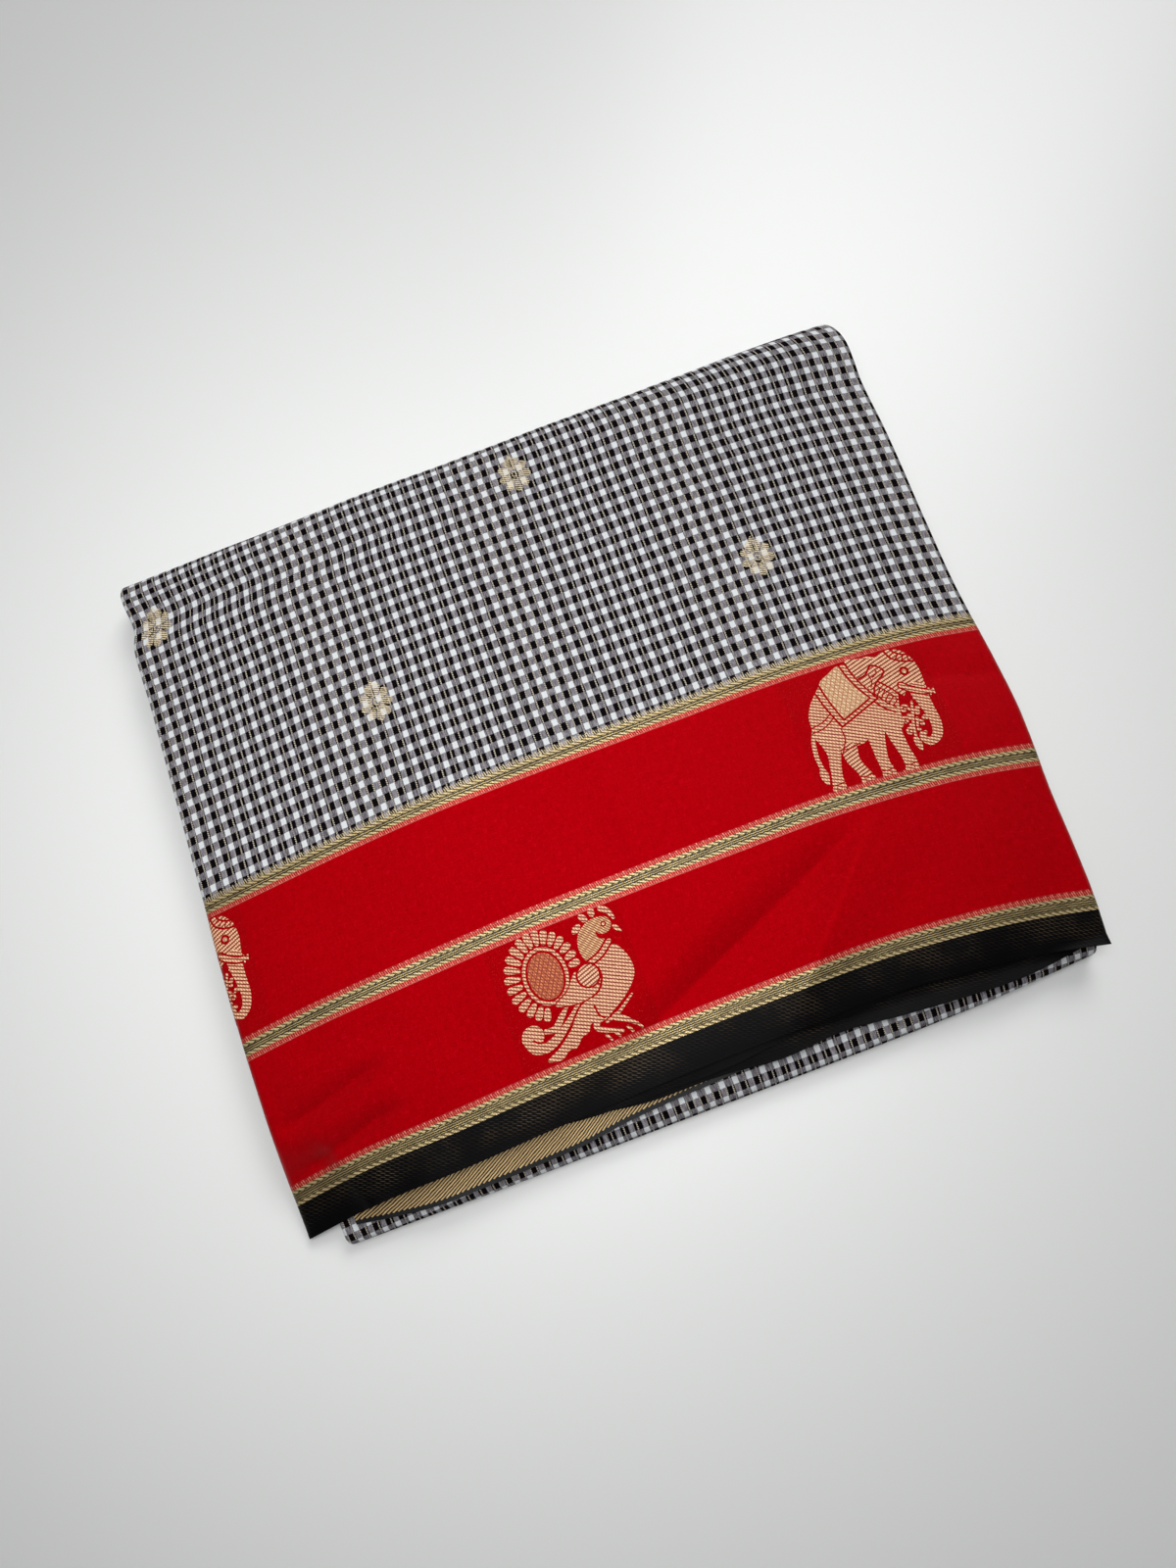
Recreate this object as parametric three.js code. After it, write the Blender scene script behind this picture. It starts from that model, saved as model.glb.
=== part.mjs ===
// A checked cotton saree folded into a packet and laid flat, with its woven border on top.
// Sixteen layers of its length make one strip, and the strip is folded twice across the
// saree's width. From the top down lie the first, last, third and second quarter of it.
// Millimetres: +X along the border, +Y from the near selvedge to the far fold, +Z up.
// The origin is the bottom centre of the packet.

import * as THREE from 'three';

// Driving dimensions of the folded packet
const PACKET_WIDTH = 344;
const PACKET_DEPTH = 303.4;
const STRIP = 5.5;
const NEAR_SELVEDGE_Y = -132.5;

// The wall that stands for the leaf that shows, and the clearances beside it
const WALL = 1.2;
const SEAM_GAP = 0.3;
const FOLD_GAP = 0.4;

// Woven stretches of the top leaf, from the near selvedge towards the far fold
const TOP_STRETCHES = [
  { name: 'top_selvedge_black', width: 13.8, cloth: 'blackBorder' },
  { name: 'top_zari_near', width: 8.3, cloth: 'zari' },
  { name: 'top_red_near', width: 51.1, cloth: 'redBorder' },
  { name: 'top_zari_middle', width: 9.8, cloth: 'zari' },
  { name: 'top_red_far', width: 50.2, cloth: 'redBorder' },
  { name: 'top_zari_far', width: 8.9, cloth: 'zari' },
];

// How far the cloth has slipped towards the near side (minus) or the far side, along X:
// at the far edge of the red border, at the near selvedge, and in the fold that lies below
const SLIP = [
  { x: -172, border: -8.5, selvedge: -11.4, nose: 0 },
  { x: -140, border: -6.0, selvedge: -6.9, nose: 0 },
  { x: -100, border: -2.6, selvedge: -5.3, nose: 0 },
  { x: -60, border: -0.6, selvedge: -3.0, nose: 0.3 },
  { x: -20, border: 0, selvedge: -1.3, nose: 0.6 },
  { x: 40, border: 0, selvedge: 0, nose: 1.0 },
  { x: 85, border: 0, selvedge: 0, nose: 1.5 },
  { x: 125, border: -1.8, selvedge: -3.3, nose: 2.6 },
  { x: 150, border: -4.2, selvedge: -7.0, nose: 4.0 },
  { x: 172, border: -8.0, selvedge: -11.5, nose: 5.5 },
];

// Half widths of the packet to the left and the right, for the top leaf and the fold below
const SIDES = [
  { y: -146, left: 171.3, right: 168.3, lowLeft: 160, lowRight: 166 },
  { y: -118, left: 172.3, right: 170.2, lowLeft: 163, lowRight: 168 },
  { y: -80, left: 173.2, right: 171.3, lowLeft: 168, lowRight: 170 },
  { y: -40, left: 173.2, right: 173.5, lowLeft: 171, lowRight: 171 },
  { y: 20, left: 171.5, right: 170.3, lowLeft: 171, lowRight: 170 },
  { y: 90, left: 170.3, right: 170.8, lowLeft: 170, lowRight: 170 },
  { y: 128, left: 169.3, right: 171.5, lowLeft: 169, lowRight: 170 },
  { y: 150, left: 168.0, right: 168.0, lowLeft: 168, lowRight: 168 },
];

// Near edges of the two border leaves that show below the top leaf
const SECOND_BORDER_EDGE = [
  { x: -100, y: -129.0 },
  { x: -60, y: -134.0 },
  { x: -27, y: -138.8 },
  { x: 5, y: -139.2 },
  { x: 31, y: -141.3 },
  { x: 58, y: -139.7 },
  { x: 83, y: -142.0 },
  { x: 130, y: -144.5 },
  { x: 164, y: -141.0 },
];
const TWILL_BORDER_EDGE = [
  { x: -158, y: -143.5 },
  { x: -138, y: -146.5 },
  { x: -118, y: -148.4 },
  { x: -97, y: -148.0 },
  { x: -71, y: -147.0 },
  { x: -54, y: -146.0 },
  { x: -36, y: -143.5 },
  { x: 0, y: -141.0 },
  { x: 60, y: -138.0 },
];

// Height of the packet against its flat-pressed height, in its middle, along its edges and
// lost at its two near corners
const MIDDLE_FULLNESS = 1.1;
const EDGE_FULLNESS = 0.92;
const LEFT_CORNER_SAG = 0.28;
const RIGHT_CORNER_SAG = 0.06;
const CORNER_REACH = 60;

// Steps of the meshes
const ACROSS_STEPS = 12;
const NOSE_STEPS = 5;
const RUN_STEP = 34;
const TURN_STEPS = 8;
const UNDER_TURN_STEPS = 3;
const TIER_STEPS_X = 20;
const TIER_STEPS_Y = 4;

// Places that follow from the dimensions
const HALF_WIDTH = PACKET_WIDTH / 2;
const HALF_DEPTH = PACKET_DEPTH / 2;
const TOP_Z = 4 * STRIP;
const MIDDLE_Z = 2 * STRIP;
const FAR_FOLD_Y = HALF_DEPTH - MIDDLE_Z;
const NEAR_FOLD_Y = -HALF_DEPTH + STRIP;
const NOSE_RADIUS = STRIP / 2;
const NOSE_TURN = THREE.MathUtils.degToRad(155);
const FLAT_HALF = HALF_WIDTH - NOSE_RADIUS;
const CORE_EDGE_SETBACK = 5;
const CORE_NEAR_END_Y = NEAR_SELVEDGE_Y + CORE_EDGE_SETBACK;
const LAST_QUARTER_END_Y = -92;
const TIER_BACK_Y = -106;
const UNDER_LEAF_END_Y = NEAR_FOLD_Y + 22;
const CORE_STEP_OUT = 4;
const UNDER_START_TURN = THREE.MathUtils.degToRad(-54);
const SLIP_FADE_START_Y = 15;
const NOSE_FADE_END_Y = -60;

const CLOTHS = {
  checks: { color: 0x7f7c80, roughness: 0.85, metalness: 0 },
  redBorder: { color: 0xb4040f, roughness: 0.6, metalness: 0 },
  blackBorder: { color: 0x16181c, roughness: 0.75, metalness: 0 },
  zari: { color: 0x96804e, roughness: 0.5, metalness: 0.4 },
  twill: { color: 0x9c8150, roughness: 0.5, metalness: 0.4 },
};

function clamp01(value) {
  return Math.min(1, Math.max(0, value));
}

function ease(value) {
  const part = clamp01(value);
  return part * part * (3 - 2 * part);
}

// One column of a table at a place between its rows, on a smooth curve through them
function readTable(table, along, at, column) {
  const last = table.length - 1;
  if (at <= table[0][along]) return table[0][column];
  if (at >= table[last][along]) return table[last][column];
  const high = table.findIndex((row) => row[along] > at);
  const rowAt = (index) => table[Math.min(last, Math.max(0, index))];
  const [a, b, c, d] = [-2, -1, 0, 1].map((offset) => rowAt(high + offset));
  const span = c[along] - b[along];
  const part = (at - b[along]) / span;
  const slopeB = ((c[column] - a[column]) / (c[along] - a[along])) * span;
  const slopeC = ((d[column] - b[column]) / (d[along] - b[along])) * span;
  const p2 = part * part;
  const p3 = p2 * part;
  return (
    (2 * p3 - 3 * p2 + 1) * b[column] +
    (p3 - 2 * p2 + part) * slopeB +
    (3 * p2 - 2 * p3) * c[column] +
    (p3 - p2) * slopeC
  );
}

// Share of the top leaf's slip and width that a height takes up, 0 in the fold below
function topShare(z) {
  return ease((z - MIDDLE_Z) / STRIP);
}

function slip(x, y, z) {
  const border = readTable(SLIP, 'x', x, 'border');
  const selvedge = readTable(SLIP, 'x', x, 'selvedge');
  const nose = readTable(SLIP, 'x', x, 'nose');
  const towardsBorder = clamp01((y - NEAR_SELVEDGE_Y) / -NEAR_SELVEDGE_Y);
  const stillFree = 1 - ease((y - SLIP_FADE_START_Y) / (FAR_FOLD_Y - SLIP_FADE_START_Y));
  const topSlip = (selvedge + (border - selvedge) * towardsBorder) * stillFree;
  const noseSlip = nose * ease((NOSE_FADE_END_Y - y) / (NOSE_FADE_END_Y - NEAR_FOLD_Y));
  return noseSlip + (topSlip - noseSlip) * topShare(z);
}

function widthScale(x, y, z) {
  const top = readTable(SIDES, 'y', y, x < 0 ? 'left' : 'right');
  const low = readTable(SIDES, 'y', y, x < 0 ? 'lowLeft' : 'lowRight');
  return (low + (top - low) * topShare(z)) / HALF_WIDTH;
}

function fullness(x, y) {
  const edge = clamp01(Math.abs(x / HALF_WIDTH) ** 4 + Math.abs(y / HALF_DEPTH) ** 4);
  const near = ease((-y - (HALF_DEPTH - CORNER_REACH)) / CORNER_REACH);
  const left = ease((-x - (HALF_WIDTH - CORNER_REACH)) / CORNER_REACH);
  const right = ease((x - (HALF_WIDTH - CORNER_REACH)) / CORNER_REACH);
  const sag = near * (left * LEFT_CORNER_SAG + right * RIGHT_CORNER_SAG);
  return MIDDLE_FULLNESS + (EDGE_FULLNESS - MIDDLE_FULLNESS) * edge - sag;
}

// Takes a point of the flat-pressed packet to its place in the packet as it lies
function settle(x, y, z) {
  const movedY = y + slip(x, y, z);
  const movedX = x * widthScale(x, movedY, z);
  return new THREE.Vector3(movedX, movedY, z * fullness(movedX, movedY));
}

// A station is a place on the outer face of the strip and the way that face looks
function runStations(fromY, toY, z, looksZ) {
  const steps = Math.max(1, Math.ceil(Math.abs(toY - fromY) / RUN_STEP));
  return Array.from({ length: steps + 1 }, (_, i) => ({
    y: fromY + ((toY - fromY) * i) / steps,
    z,
    ny: 0,
    nz: looksZ,
  }));
}

// A turn about a centre. A strip that lies outside the turn has its face at the centre.
function turnStations(centreY, centreZ, radius, fromAngle, toAngle, steps) {
  const looks = radius > 0 ? 1 : -1;
  return Array.from({ length: steps + 1 }, (_, i) => {
    const angle = fromAngle + ((toAngle - fromAngle) * i) / steps;
    const ny = Math.cos(angle);
    const nz = Math.sin(angle);
    return { y: centreY + radius * ny, z: centreZ + radius * nz, ny: looks * ny, nz: looks * nz };
  });
}

const QUARTER = Math.PI / 2;
const farTurn = (from, to, steps) =>
  turnStations(FAR_FOLD_Y, MIDDLE_Z, MIDDLE_Z, from, to, steps);
const nearTurn = () => turnStations(NEAR_FOLD_Y, STRIP, STRIP, -QUARTER, -3 * QUARTER, TURN_STEPS);
const innerTurn = () => turnStations(FAR_FOLD_Y, MIDDLE_Z, 0, -QUARTER, QUARTER, TURN_STEPS);

// Stretches that follow each other share the station where they meet
function joined(...parts) {
  return parts.flatMap((part, i) => (i === 0 ? part : part.slice(1)));
}

// Places across the flat of the packet, closer together towards its sides
function flatPlaces(half) {
  return Array.from(
    { length: ACROSS_STEPS + 1 },
    (_, i) => half * Math.sin(QUARTER * ((2 * i) / ACROSS_STEPS - 1)),
  );
}

// Section of the leaf that shows: flat across, and round both noses of the strip
function leafSection(depth) {
  const nose = (side) =>
    Array.from({ length: NOSE_STEPS }, (_, i) => {
      const angle = (NOSE_TURN * (i + 1)) / NOSE_STEPS;
      const radius = NOSE_RADIUS - depth;
      return {
        x: side * (FLAT_HALF + radius * Math.sin(angle)),
        depth: NOSE_RADIUS - radius * Math.cos(angle),
      };
    });
  const flat = flatPlaces(FLAT_HALF).map((x) => ({ x, depth }));
  return [...nose(-1).reverse(), ...flat, ...nose(1)];
}

// Section of the hidden layers. Under the leaf it keeps inside its noses. Where it is bare
// its left side is one round nose and its right side two, as the length was folded by halves.
function coreSection(covered) {
  const faceDepth = covered ? WALL + SEAM_GAP : FOLD_GAP / 2;
  const backDepth = STRIP - FOLD_GAP / 2;
  const noseHeight = covered ? NOSE_RADIUS - faceDepth : NOSE_RADIUS - FOLD_GAP / 2;
  const flatHalf = FLAT_HALF - NOSE_RADIUS;
  const noseCount = 2 * NOSE_STEPS - 1;
  const nose = (side, lobes) => {
    const bulge = noseHeight / lobes;
    const root = FLAT_HALF + noseHeight - bulge;
    return Array.from({ length: noseCount }, (_, i) => {
      const angle = (Math.PI * i) / (noseCount - 1);
      return {
        x: side * (root + bulge * Math.abs(Math.sin(lobes * angle))),
        depth: NOSE_RADIUS - noseHeight * Math.cos(angle),
      };
    });
  };
  const face = flatPlaces(flatHalf).map((x) => ({ x, depth: faceDepth }));
  const back = flatPlaces(flatHalf).map((x) => ({ x, depth: backDepth }));
  const leftNose = nose(-1, 1).reverse();
  const rightNose = nose(1, covered ? 1 : 2);
  const tip = NOSE_STEPS - 1;
  return [
    ...leftNose.slice(tip),
    ...face,
    ...rightNose,
    ...back.reverse(),
    ...leftNose.slice(0, tip),
  ];
}

function sectionAt(station, section) {
  return section.map(({ x, depth }) =>
    settle(x, station.y - depth * station.ny, station.z - depth * station.nz),
  );
}

// Closed geometry from points and triangles, turned so that its faces point out
function closedGeometry(points, triangles) {
  const volume = triangles.reduce((sum, [a, b, c]) => {
    const normal = new THREE.Vector3().crossVectors(points[b], points[c]);
    return sum + points[a].dot(normal);
  }, 0);
  const outward = volume > 0 ? triangles : triangles.map(([a, b, c]) => [a, c, b]);
  const geometry = new THREE.BufferGeometry();
  geometry.setAttribute(
    'position',
    new THREE.Float32BufferAttribute(points.flatMap((point) => point.toArray()), 3),
  );
  geometry.setIndex(outward.flat());
  geometry.computeVertexNormals();
  return geometry;
}

function quad(a, b, c, d) {
  return [
    [a, b, c],
    [a, c, d],
  ];
}

// A wall between two grids of points of the same size
function wallGeometry(outer, inner) {
  const rows = outer.length;
  const columns = outer[0].length;
  const points = [...outer.flat(), ...inner.flat()];
  const out = (row, column) => row * columns + column;
  const into = (row, column) => rows * columns + out(row, column);
  const triangles = [];
  for (let row = 0; row + 1 < rows; row += 1) {
    for (let column = 0; column + 1 < columns; column += 1) {
      triangles.push(...quad(out(row, column), out(row, column + 1),
        out(row + 1, column + 1), out(row + 1, column)));
      triangles.push(...quad(into(row, column), into(row + 1, column),
        into(row + 1, column + 1), into(row, column + 1)));
    }
    const lastColumn = columns - 1;
    triangles.push(...quad(out(row, 0), out(row + 1, 0), into(row + 1, 0), into(row, 0)));
    triangles.push(...quad(out(row, lastColumn), into(row, lastColumn),
      into(row + 1, lastColumn), out(row + 1, lastColumn)));
  }
  for (let column = 0; column + 1 < columns; column += 1) {
    const lastRow = rows - 1;
    triangles.push(...quad(out(0, column), into(0, column),
      into(0, column + 1), out(0, column + 1)));
    triangles.push(...quad(out(lastRow, column), out(lastRow, column + 1),
      into(lastRow, column + 1), into(lastRow, column)));
  }
  return closedGeometry(points, triangles);
}

// A solid through rings of points. A ring starts at its left tip, and has its right tip half
// way round, so each end is closed by strips between its upper and its lower side.
function sweptGeometry(rings) {
  const count = rings[0].length;
  const points = rings.flat();
  const triangles = [];
  for (let ring = 0; ring + 1 < rings.length; ring += 1) {
    for (let i = 0; i < count; i += 1) {
      const next = (i + 1) % count;
      triangles.push(...quad(ring * count + i, ring * count + next,
        (ring + 1) * count + next, (ring + 1) * count + i));
    }
  }
  const cap = (ring, flip) => {
    const at = (i) => ring * count + (i % count);
    const half = count / 2;
    for (let i = 0; i < half; i += 1) {
      const strip = quad(at(i), at(i + 1), at(count - i - 1), at(count - i));
      const faces = strip.filter((corners) => new Set(corners).size === 3);
      triangles.push(...faces.map(([a, b, c]) => (flip ? [a, c, b] : [a, b, c])));
    }
  };
  cap(0, true);
  cap(rings.length - 1, false);
  return closedGeometry(points, triangles);
}

function clothMesh(name, geometry, cloth) {
  const mesh = new THREE.Mesh(geometry, new THREE.MeshStandardMaterial(CLOTHS[cloth]));
  mesh.name = name;
  return mesh;
}

function leafMesh(name, stations, cloth) {
  const outer = stations.map((station) => sectionAt(station, leafSection(0)));
  const inner = stations.map((station) => sectionAt(station, leafSection(WALL)));
  return clothMesh(name, wallGeometry(outer, inner), cloth);
}

// Where each stretch of the top leaf starts, and where the checked body starts after them
function stretchStarts() {
  const starts = [NEAR_SELVEDGE_Y];
  TOP_STRETCHES.forEach(({ width }, i) => starts.push(starts[i] + width));
  return starts;
}

function addTopLeaf(saree) {
  const starts = stretchStarts();
  TOP_STRETCHES.forEach(({ name, cloth }, i) => {
    const fromY = starts[i] + SEAM_GAP / 2;
    const toY = starts[i + 1] - SEAM_GAP / 2;
    saree.add(leafMesh(name, runStations(fromY, toY, TOP_Z, 1), cloth));
  });
  const body = joined(
    runStations(starts.at(-1) + SEAM_GAP / 2, FAR_FOLD_Y, TOP_Z, 1),
    farTurn(QUARTER, UNDER_START_TURN, TURN_STEPS),
  );
  saree.add(leafMesh('top_body_checked', body, 'checks'));
}

// The second quarter of the width: round the far fold, flat below, and up round the near fold
function addUnderLeaf(saree) {
  const seamTurn = SEAM_GAP / MIDDLE_Z;
  const stations = joined(
    farTurn(UNDER_START_TURN - seamTurn, -QUARTER, UNDER_TURN_STEPS),
    runStations(FAR_FOLD_Y, NEAR_FOLD_Y, 0, -1),
    nearTurn(),
    runStations(NEAR_FOLD_Y, UNDER_LEAF_END_Y, MIDDLE_Z, 1),
  );
  saree.add(leafMesh('under_body_checked', stations, 'checks'));
}

function addFoldedLayers(saree) {
  const [, ...starts] = stretchStarts();
  const topRuns = [CORE_NEAR_END_Y, ...starts].map((fromY, i) =>
    runStations(fromY, starts[i] ?? FAR_FOLD_Y, TOP_Z, 1),
  );
  const covered = joined(
    ...topRuns,
    farTurn(QUARTER, UNDER_START_TURN, TURN_STEPS),
    farTurn(UNDER_START_TURN, -QUARTER, UNDER_TURN_STEPS),
    runStations(FAR_FOLD_Y, NEAR_FOLD_Y, 0, -1),
    nearTurn(),
    runStations(NEAR_FOLD_Y, UNDER_LEAF_END_Y, MIDDLE_Z, 1),
  );
  const bare = joined(
    runStations(UNDER_LEAF_END_Y + CORE_STEP_OUT, FAR_FOLD_Y, MIDDLE_Z, 1),
    innerTurn(),
    runStations(FAR_FOLD_Y, LAST_QUARTER_END_Y, MIDDLE_Z, -1),
  );
  const rings = [
    ...covered.map((station) => sectionAt(station, coreSection(true))),
    ...bare.map((station) => sectionAt(station, coreSection(false))),
  ];
  saree.add(clothMesh('folded_layers', sweptGeometry(rings), 'checks'));
}

// A border leaf in the last quarter, whose near edge shows in front of the leaf above it
function addTier(saree, name, edge, bottomZ, topZ, cloth) {
  const fromX = edge[0].x;
  const toX = edge[edge.length - 1].x;
  const grid = (z) =>
    Array.from({ length: TIER_STEPS_Y + 1 }, (_, row) =>
      Array.from({ length: TIER_STEPS_X + 1 }, (_, i) => {
        const x = fromX + ((toX - fromX) * i) / TIER_STEPS_X;
        const reach = readTable(edge, 'x', x, 'y') - TIER_BACK_Y;
        const y = TIER_BACK_Y + (reach * row) / TIER_STEPS_Y;
        return new THREE.Vector3(x, y, z * fullness(x, y));
      }),
    );
  saree.add(clothMesh(name, wallGeometry(grid(topZ), grid(bottomZ)), cloth));
}

function buildSaree() {
  const saree = new THREE.Group();
  addTopLeaf(saree);
  addUnderLeaf(saree);
  addFoldedLayers(saree);
  const tierHeight = (STRIP - 3 * FOLD_GAP) / 2;
  const twillBottom = MIDDLE_Z + FOLD_GAP;
  const secondBottom = twillBottom + tierHeight + FOLD_GAP;
  addTier(saree, 'inner_border_twill', TWILL_BORDER_EDGE, twillBottom,
    twillBottom + tierHeight, 'twill');
  addTier(saree, 'second_border_black', SECOND_BORDER_EDGE, secondBottom,
    secondBottom + tierHeight, 'blackBorder');
  return saree;
}

export default buildSaree();
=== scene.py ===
# A checked cotton saree folded into a packet, with its woven border on the top leaf.
# Sizes and places below are in millimetres and are turned into metres by MM.
# A place on the cloth is (across, along): across runs with the border, left to right, and
# along runs over the outer face from the near selvedge, round the far fold and back below.

import math

import bpy
import numpy as np
from mathutils import Matrix, Vector
from mathutils.geometry import delaunay_2d_cdt


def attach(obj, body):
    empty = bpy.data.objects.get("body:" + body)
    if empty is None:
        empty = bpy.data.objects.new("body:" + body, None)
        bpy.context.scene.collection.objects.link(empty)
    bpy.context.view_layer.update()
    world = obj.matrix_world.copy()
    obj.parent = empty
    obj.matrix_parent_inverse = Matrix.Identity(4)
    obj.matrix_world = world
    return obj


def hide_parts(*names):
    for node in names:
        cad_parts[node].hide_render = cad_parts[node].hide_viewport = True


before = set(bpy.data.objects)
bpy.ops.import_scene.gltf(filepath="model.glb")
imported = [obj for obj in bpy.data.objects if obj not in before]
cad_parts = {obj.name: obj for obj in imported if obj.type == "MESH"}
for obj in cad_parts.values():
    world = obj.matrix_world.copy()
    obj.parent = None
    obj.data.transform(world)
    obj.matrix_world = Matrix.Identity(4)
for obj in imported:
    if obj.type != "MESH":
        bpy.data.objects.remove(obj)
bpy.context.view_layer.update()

MM = 0.001
PACKET_WIDTH = 344.0
PACKET_DEPTH = 303.4
STRIP = 5.5
NEAR_SELVEDGE_Y = -132.5

HALF_WIDTH = PACKET_WIDTH / 2
HALF_DEPTH = PACKET_DEPTH / 2
TOP_Z = 4 * STRIP
MIDDLE_Z = 2 * STRIP
FAR_FOLD_Y = HALF_DEPTH - MIDDLE_Z
NEAR_FOLD_Y = -HALF_DEPTH + STRIP
NOSE_RADIUS = STRIP / 2
FLAT_HALF = HALF_WIDTH - NOSE_RADIUS


def table(columns, *rows):
    """A short table as {column name: values}."""
    return dict(zip(columns.split(), np.array(rows, float).T))


# Woven stretches of the top leaf from the near selvedge: where each starts, in along
SELVEDGE_WIDTH = 13.8
ZARI_NEAR_WIDTH = 8.3
RED_NEAR_WIDTH = 51.1
ZARI_MIDDLE_WIDTH = 9.8
RED_FAR_WIDTH = 50.2
ZARI_FAR_WIDTH = 8.9
ZARI_NEAR_AT = SELVEDGE_WIDTH
RED_NEAR_AT = ZARI_NEAR_AT + ZARI_NEAR_WIDTH
ZARI_MIDDLE_AT = RED_NEAR_AT + RED_NEAR_WIDTH
RED_FAR_AT = ZARI_MIDDLE_AT + ZARI_MIDDLE_WIDTH
ZARI_FAR_AT = RED_FAR_AT + RED_FAR_WIDTH
BODY_AT = ZARI_FAR_AT + ZARI_FAR_WIDTH

# How far the cloth has slipped along Y, as in the solids, and a little at the far fold
SLIP = table(
    "x border selvedge nose far",
    (-172, -8.5, -11.4, 0, -1.8),
    (-140, -6.0, -6.9, 0, -1.4),
    (-100, -2.6, -5.3, 0, -0.6),
    (-60, -0.6, -3.0, 0.3, 0),
    (-20, 0, -1.3, 0.6, 0),
    (40, 0, 0, 1.0, 0),
    (85, 0, 0, 1.5, 0),
    (125, -1.8, -3.3, 2.6, 0),
    (150, -4.2, -7.0, 4.0, -0.4),
    (172, -8.0, -11.5, 5.5, -1.2),
)
SIDES = table(
    "y left right low_left low_right",
    (-146, 171.3, 168.3, 160, 166),
    (-118, 172.3, 170.2, 163, 168),
    (-80, 173.2, 171.3, 168, 170),
    (-40, 173.2, 173.5, 171, 171),
    (20, 171.5, 170.3, 171, 170),
    (90, 170.0, 170.8, 170, 170),
    (116, 169.9, 170.2, 169, 170),
    (126, 167.4, 171.0, 168, 170),
    (137, 168.6, 171.2, 168, 170),
    (150, 169.8, 167.4, 168, 168),
)
SECOND_BORDER_EDGE = table(
    "x y",
    (-100, -129.0),
    (-60, -134.0),
    (-27, -138.8),
    (5, -139.2),
    (31, -141.3),
    (58, -139.7),
    (83, -142.0),
    (130, -144.5),
    (164, -141.0),
)
TWILL_BORDER_EDGE = table(
    "x y",
    (-153, -144.4),
    (-138, -146.5),
    (-118, -148.4),
    (-97, -148.0),
    (-71, -147.0),
    (-54, -146.0),
    (-36, -143.5),
    (0, -141.0),
    (60, -138.0),
)
MIDDLE_FULLNESS = 1.1
EDGE_FULLNESS = 0.92
LEFT_CORNER_SAG = 0.28
RIGHT_CORNER_SAG = 0.06
CORNER_REACH = 60.0
SLIP_FADE_START_Y = 15.0
NOSE_FADE_END_Y = -60.0


def ease(value):
    part = np.clip(value, 0, 1)
    return part * part * (3 - 2 * part)


def read(rows, along, at, column):
    """One column of a table at places between its rows, on a smooth curve through them."""
    keys, values = rows[along], rows[column]
    at = np.clip(at, keys[0], keys[-1])
    last = len(keys) - 1
    low = np.clip(np.searchsorted(keys, at, side="right") - 1, 0, last - 1)
    before, high, after = np.maximum(low - 1, 0), low + 1, np.minimum(low + 2, last)
    span = keys[high] - keys[low]
    part = (at - keys[low]) / span
    slope_low = (values[high] - values[before]) / (keys[high] - keys[before]) * span
    slope_high = (values[after] - values[low]) / (keys[after] - keys[low]) * span
    p2, p3 = part**2, part**3
    return (
        (2 * p3 - 3 * p2 + 1) * values[low]
        + (p3 - 2 * p2 + part) * slope_low
        + (3 * p2 - 2 * p3) * values[high]
        + (p3 - p2) * slope_high
    )


def top_share(z):
    return ease((z - MIDDLE_Z) / STRIP)


def border_slip(x):
    return read(SLIP, "x", x, "border")


def slip(x, y, z):
    selvedge = read(SLIP, "x", x, "selvedge")
    towards_border = np.clip((y - NEAR_SELVEDGE_Y) / -NEAR_SELVEDGE_Y, 0, 1)
    still_free = 1 - ease((y - SLIP_FADE_START_Y) / (FAR_FOLD_Y - SLIP_FADE_START_Y))
    top = (selvedge + (border_slip(x) - selvedge) * towards_border) * still_free
    fading = ease((NOSE_FADE_END_Y - y) / (NOSE_FADE_END_Y - NEAR_FOLD_Y))
    nose = read(SLIP, "x", x, "nose") * fading
    far = read(SLIP, "x", x, "far") * (1 - still_free)
    return nose + (top - nose) * top_share(z) + far


def width_scale(x, y, z):
    left, right = read(SIDES, "y", y, "left"), read(SIDES, "y", y, "right")
    low_left, low_right = read(SIDES, "y", y, "low_left"), read(SIDES, "y", y, "low_right")
    top = np.where(x < 0, left, right)
    low = np.where(x < 0, low_left, low_right)
    return (low + (top - low) * top_share(z)) / HALF_WIDTH


def fullness(x, y):
    edge = np.clip(np.abs(x / HALF_WIDTH) ** 4 + np.abs(y / HALF_DEPTH) ** 4, 0, 1)
    near = ease((-y - (HALF_DEPTH - CORNER_REACH)) / CORNER_REACH)
    left = ease((-x - (HALF_WIDTH - CORNER_REACH)) / CORNER_REACH)
    right = ease((x - (HALF_WIDTH - CORNER_REACH)) / CORNER_REACH)
    sag = near * (left * LEFT_CORNER_SAG + right * RIGHT_CORNER_SAG)
    return MIDDLE_FULLNESS + (EDGE_FULLNESS - MIDDLE_FULLNESS) * edge - sag


# Soft waves of the resting cloth: length, direction in degrees, height and start of each
WAVES = table(
    "length turn height start",
    (83, 22, 0.20, 0.4),
    (57, -31, 0.13, 2.1),
    (41, 64, 0.10, 4.0),
    (29, 12, 0.06, 1.2),
    (23, -58, 0.05, 5.2),
)


def waves(x, y):
    lift = np.zeros(np.broadcast(x, y).shape)
    for length, turn, height, start in zip(*WAVES.values()):
        angle = math.radians(turn)
        reach = x * math.cos(angle) + y * math.sin(angle)
        lift = lift + height * np.sin(2 * math.pi * reach / length + start)
    return lift


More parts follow.
